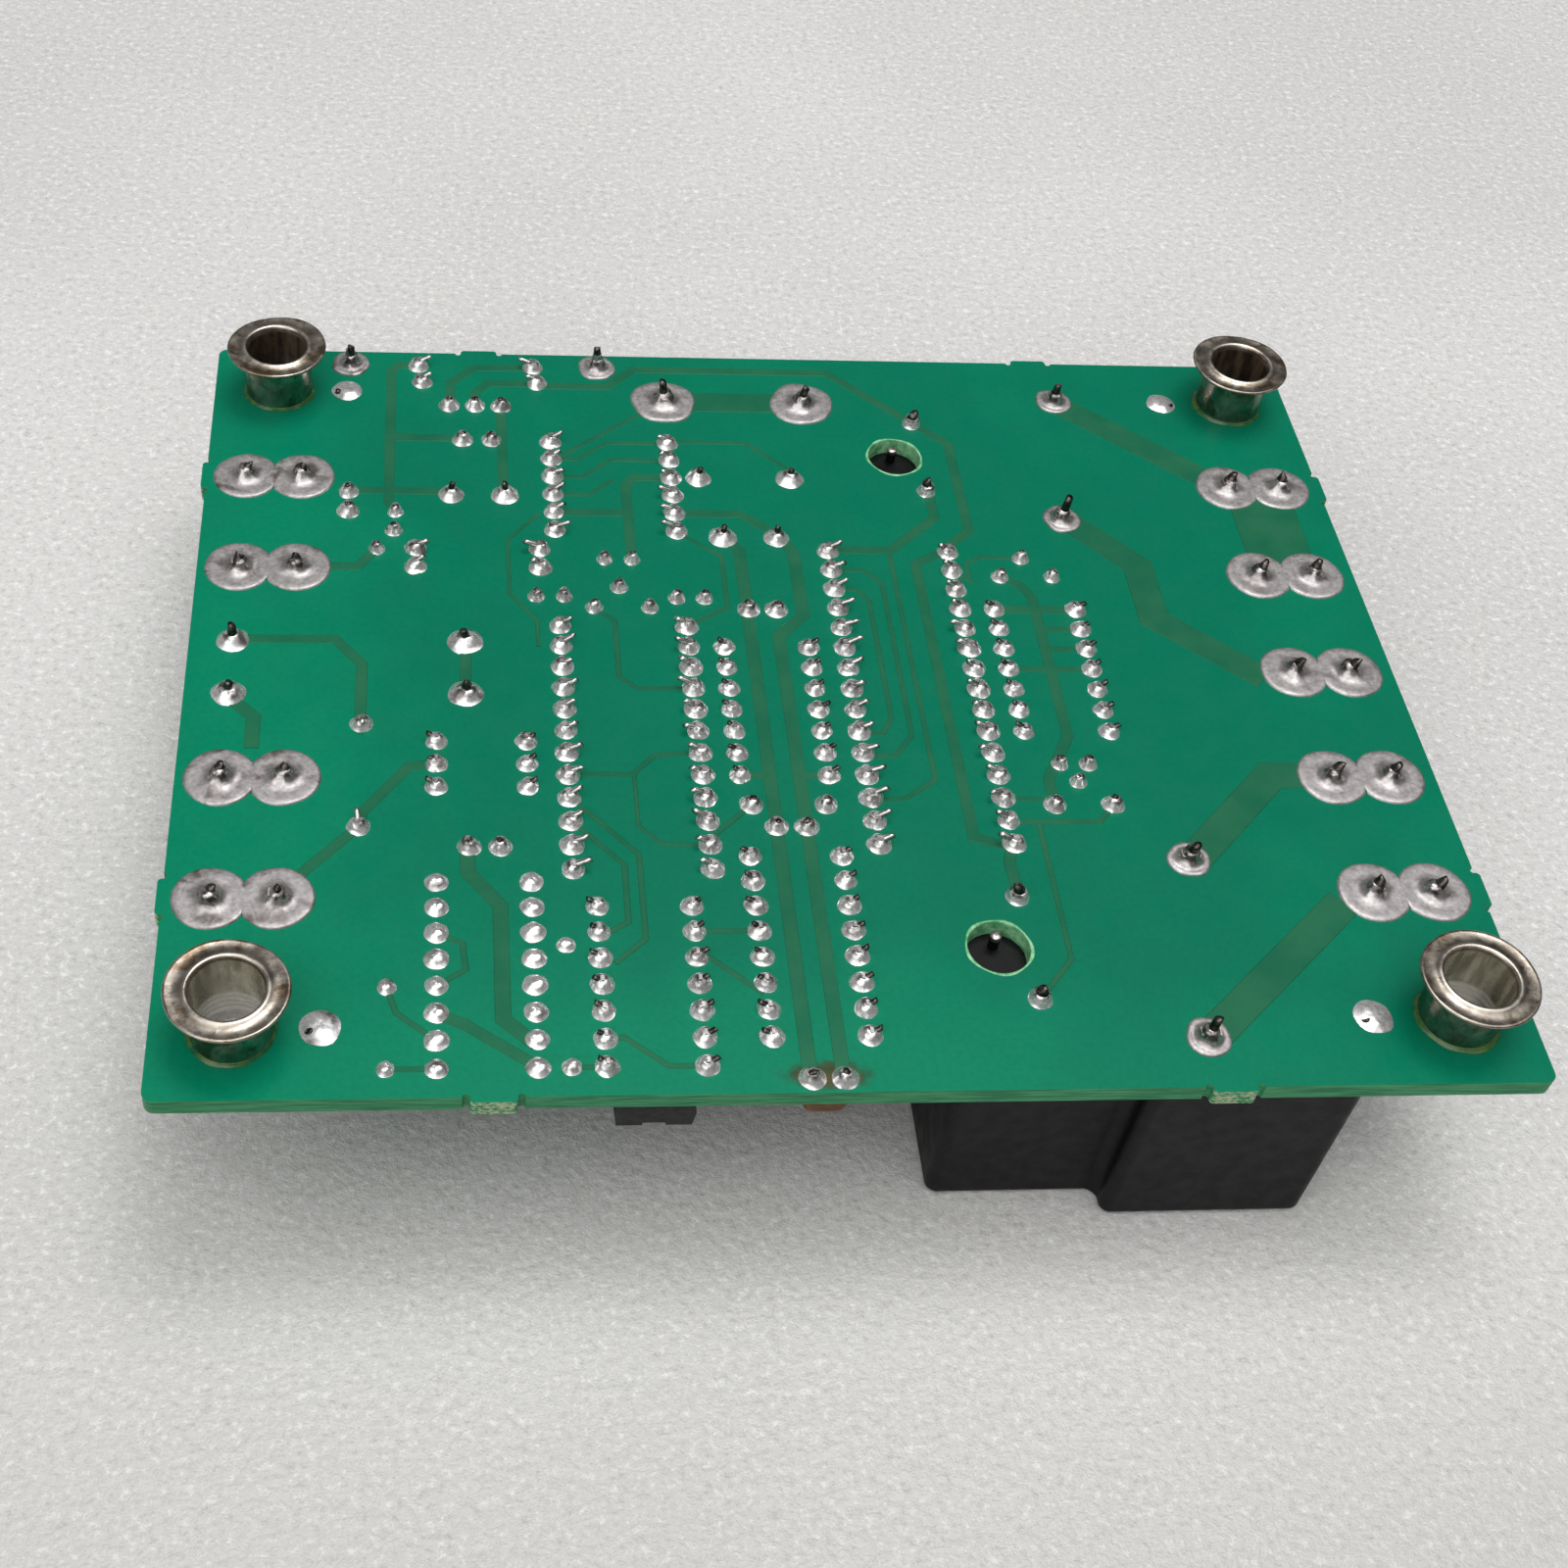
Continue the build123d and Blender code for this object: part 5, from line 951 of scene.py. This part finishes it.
# ---------------- resistor colour bands
BAND_COLOURS = {
    "black": (24, 22, 20), "brown": (92, 52, 28), "red": (176, 34, 28), "orange": (214, 104, 26),
    "yellow": (222, 190, 40), "green": (34, 112, 56), "blue": (34, 64, 140),
    "violet": (104, 52, 122), "grey": (128, 128, 126), "gold": (176, 138, 58),
}
band_paints = [mottled(f"band_{name}", colour(*[int(0.86 * part) for part in rgb]), colour(*rgb),
                       0.8 * MM, (0.28, 0.42), 6e-6, 0.3 * MM, IOR=1.5).material
               for name, rgb in BAND_COLOURS.items()]


BAND_PROFILE = ((-0.5, -0.04), (-0.5, 0.012), (-0.38, 0.026), (0.38, 0.026), (0.5, 0.012),
                (0.5, -0.04))  # place along the band in widths, and lift in millimetres
BAND_SEGMENTS = 40
RESISTOR_BANDS = ((-2.35, -0.95, -0.05, 2.3), (1.15, 0.95, 0.95, 1.15), 0.6)
POWER_BANDS = ((-6.4, -3.2, -1.0, 6.4), (2.85, 2.6, 2.6, 2.85), 1.3)


def add_bands(mesh, centre, axis, offsets, radii, width):
    """Four painted bands round a resistor: two digits, a multiplier and gold."""
    draws = draws_for(centre, 4)
    side = Vector((0, 0, 1))
    other = axis.cross(side)
    turns = [math.tau * n / BAND_SEGMENTS for n in range(BAND_SEGMENTS)]
    paints = [draws.randrange(1, 9), draws.randrange(0, 9), draws.randrange(0, 5),
              list(BAND_COLOURS).index("gold")]
    for offset, radius, paint in zip(offsets, radii, paints):
        rings = []
        for along, reach in BAND_PROFILE:
            at = centre + axis * (offset + along * width) * MM
            rings.append([at + (side * math.cos(turn) + other * math.sin(turn))
                          * (radius + reach) * MM for turn in turns])
        add_rings(mesh, rings, closed=True, paint=paint)


bands = bmesh.new()
for node in RESISTOR_NODES:
    for centre, half in islands(node):
        axis = Vector((1, 0, 0)) if half.x > half.y else Vector((0, 1, 0))
        add_bands(bands, centre, axis, *RESISTOR_BANDS)
for centre, half in islands("power_resistors"):
    add_bands(bands, centre, Vector((1, 0, 0)), *POWER_BANDS)
add_piece("resistor_bands", bands, band_paints)


# ---------------- floor, light, camera
FLOOR_HALF = 3.0
FLOOR_SQUARES = 60
SKY_BASE = 0.2
SKY_COLOUR = (1.0, 0.995, 0.985, 1)
SKY_GLOWS = (  # direction, where it starts and is full as cosines, strength
    ((-0.4, -0.5, 0.75), 0.76, 0.97, 1.9),  # the window side, which lights the facets
    ((0.25, -0.05, 1), 0.74, 1.0, 1.5),  # overhead, clear of the board's mirror image
    ((0.9, 0.3, 0.2), 0.3, 1.0, -0.12),  # the dim side of the room
)
CAMERA_PLACE = (-0.0326, -0.1308, 0.1549)
CAMERA_ANGLES = (41.054, -3.954, -3.475)  # degrees about X, Y and Z
CAMERA_LENS = 49.0
CAMERA_SHIFT = (0.0959, 0.002)

floor = bmesh.new()
bmesh.ops.create_grid(floor, x_segments=FLOOR_SQUARES, y_segments=FLOOR_SQUARES,
                      size=FLOOR_HALF)
floor_mesh = bpy.data.meshes.new("floor")
floor.to_mesh(floor_mesh)
floor.free()
floor_mesh.materials.append(MATERIALS["pale_floor"])
floor_object = bpy.data.objects.new("floor", floor_mesh)
bpy.context.scene.collection.objects.link(floor_object)

world = bpy.data.worlds.new("studio")
world.use_nodes = True
bpy.context.scene.world = world
sky = world.node_tree.nodes
direction = sky.new("ShaderNodeTexCoord").outputs["Generated"]


def sky_glow(towards, start, full, strength):
    """Light from one side of the room, as part of the world's brightness."""
    aim = sky.new("ShaderNodeVectorMath")
    aim.operation = "DOT_PRODUCT"
    world.node_tree.links.new(direction, aim.inputs[0])
    aim.inputs[1].default_value = Vector(towards).normalized()
    span = sky.new("ShaderNodeMapRange")
    span.interpolation_type = "SMOOTHSTEP"
    world.node_tree.links.new(aim.outputs["Value"], span.inputs["Value"])
    for socket, number in (("From Min", start), ("From Max", full), ("To Max", strength)):
        span.inputs[socket].default_value = number
    return span.outputs["Result"]


def sky_sum(parts):
    """The world nodes that add up these brightnesses."""
    total = parts[0]
    for part in parts[1:]:
        both = sky.new("ShaderNodeMath")
        world.node_tree.links.new(total, both.inputs[0])
        world.node_tree.links.new(part, both.inputs[1])
        total = both.outputs[0]
    return total


base = sky.new("ShaderNodeValue").outputs[0]
base.default_value = SKY_BASE
glow = sky_sum([base] + [sky_glow(*part) for part in SKY_GLOWS])
world.node_tree.links.new(glow, sky["Background"].inputs["Strength"])
sky["Background"].inputs["Color"].default_value = SKY_COLOUR


def add_light(name, place, target, size, power):
    """A soft rectangular light that faces its target."""
    data = bpy.data.lights.new(name, "AREA")
    data.shape = "RECTANGLE"
    data.size, data.size_y = size
    data.energy = power
    light = bpy.data.objects.new(name, data)
    light.location = place
    light.rotation_euler = (Vector(target) - Vector(place)).to_track_quat("-Z", "Y").to_euler()
    bpy.context.scene.collection.objects.link(light)


add_light("ceiling", (0.12, 0.2, 0.95), (0, 0.05, 0.0), (0.5, 0.4), 3.3)
bpy.context.scene.view_settings.view_transform = "Standard"

camera = bpy.data.objects.new("camera", bpy.data.cameras.new("camera"))
camera.location = CAMERA_PLACE
camera.rotation_euler = Euler([math.radians(angle) for angle in CAMERA_ANGLES])
camera.data.lens = CAMERA_LENS
camera.data.shift_x, camera.data.shift_y = CAMERA_SHIFT
camera.data.clip_start = 0.01
bpy.context.scene.collection.objects.link(camera)
bpy.context.scene.camera = camera
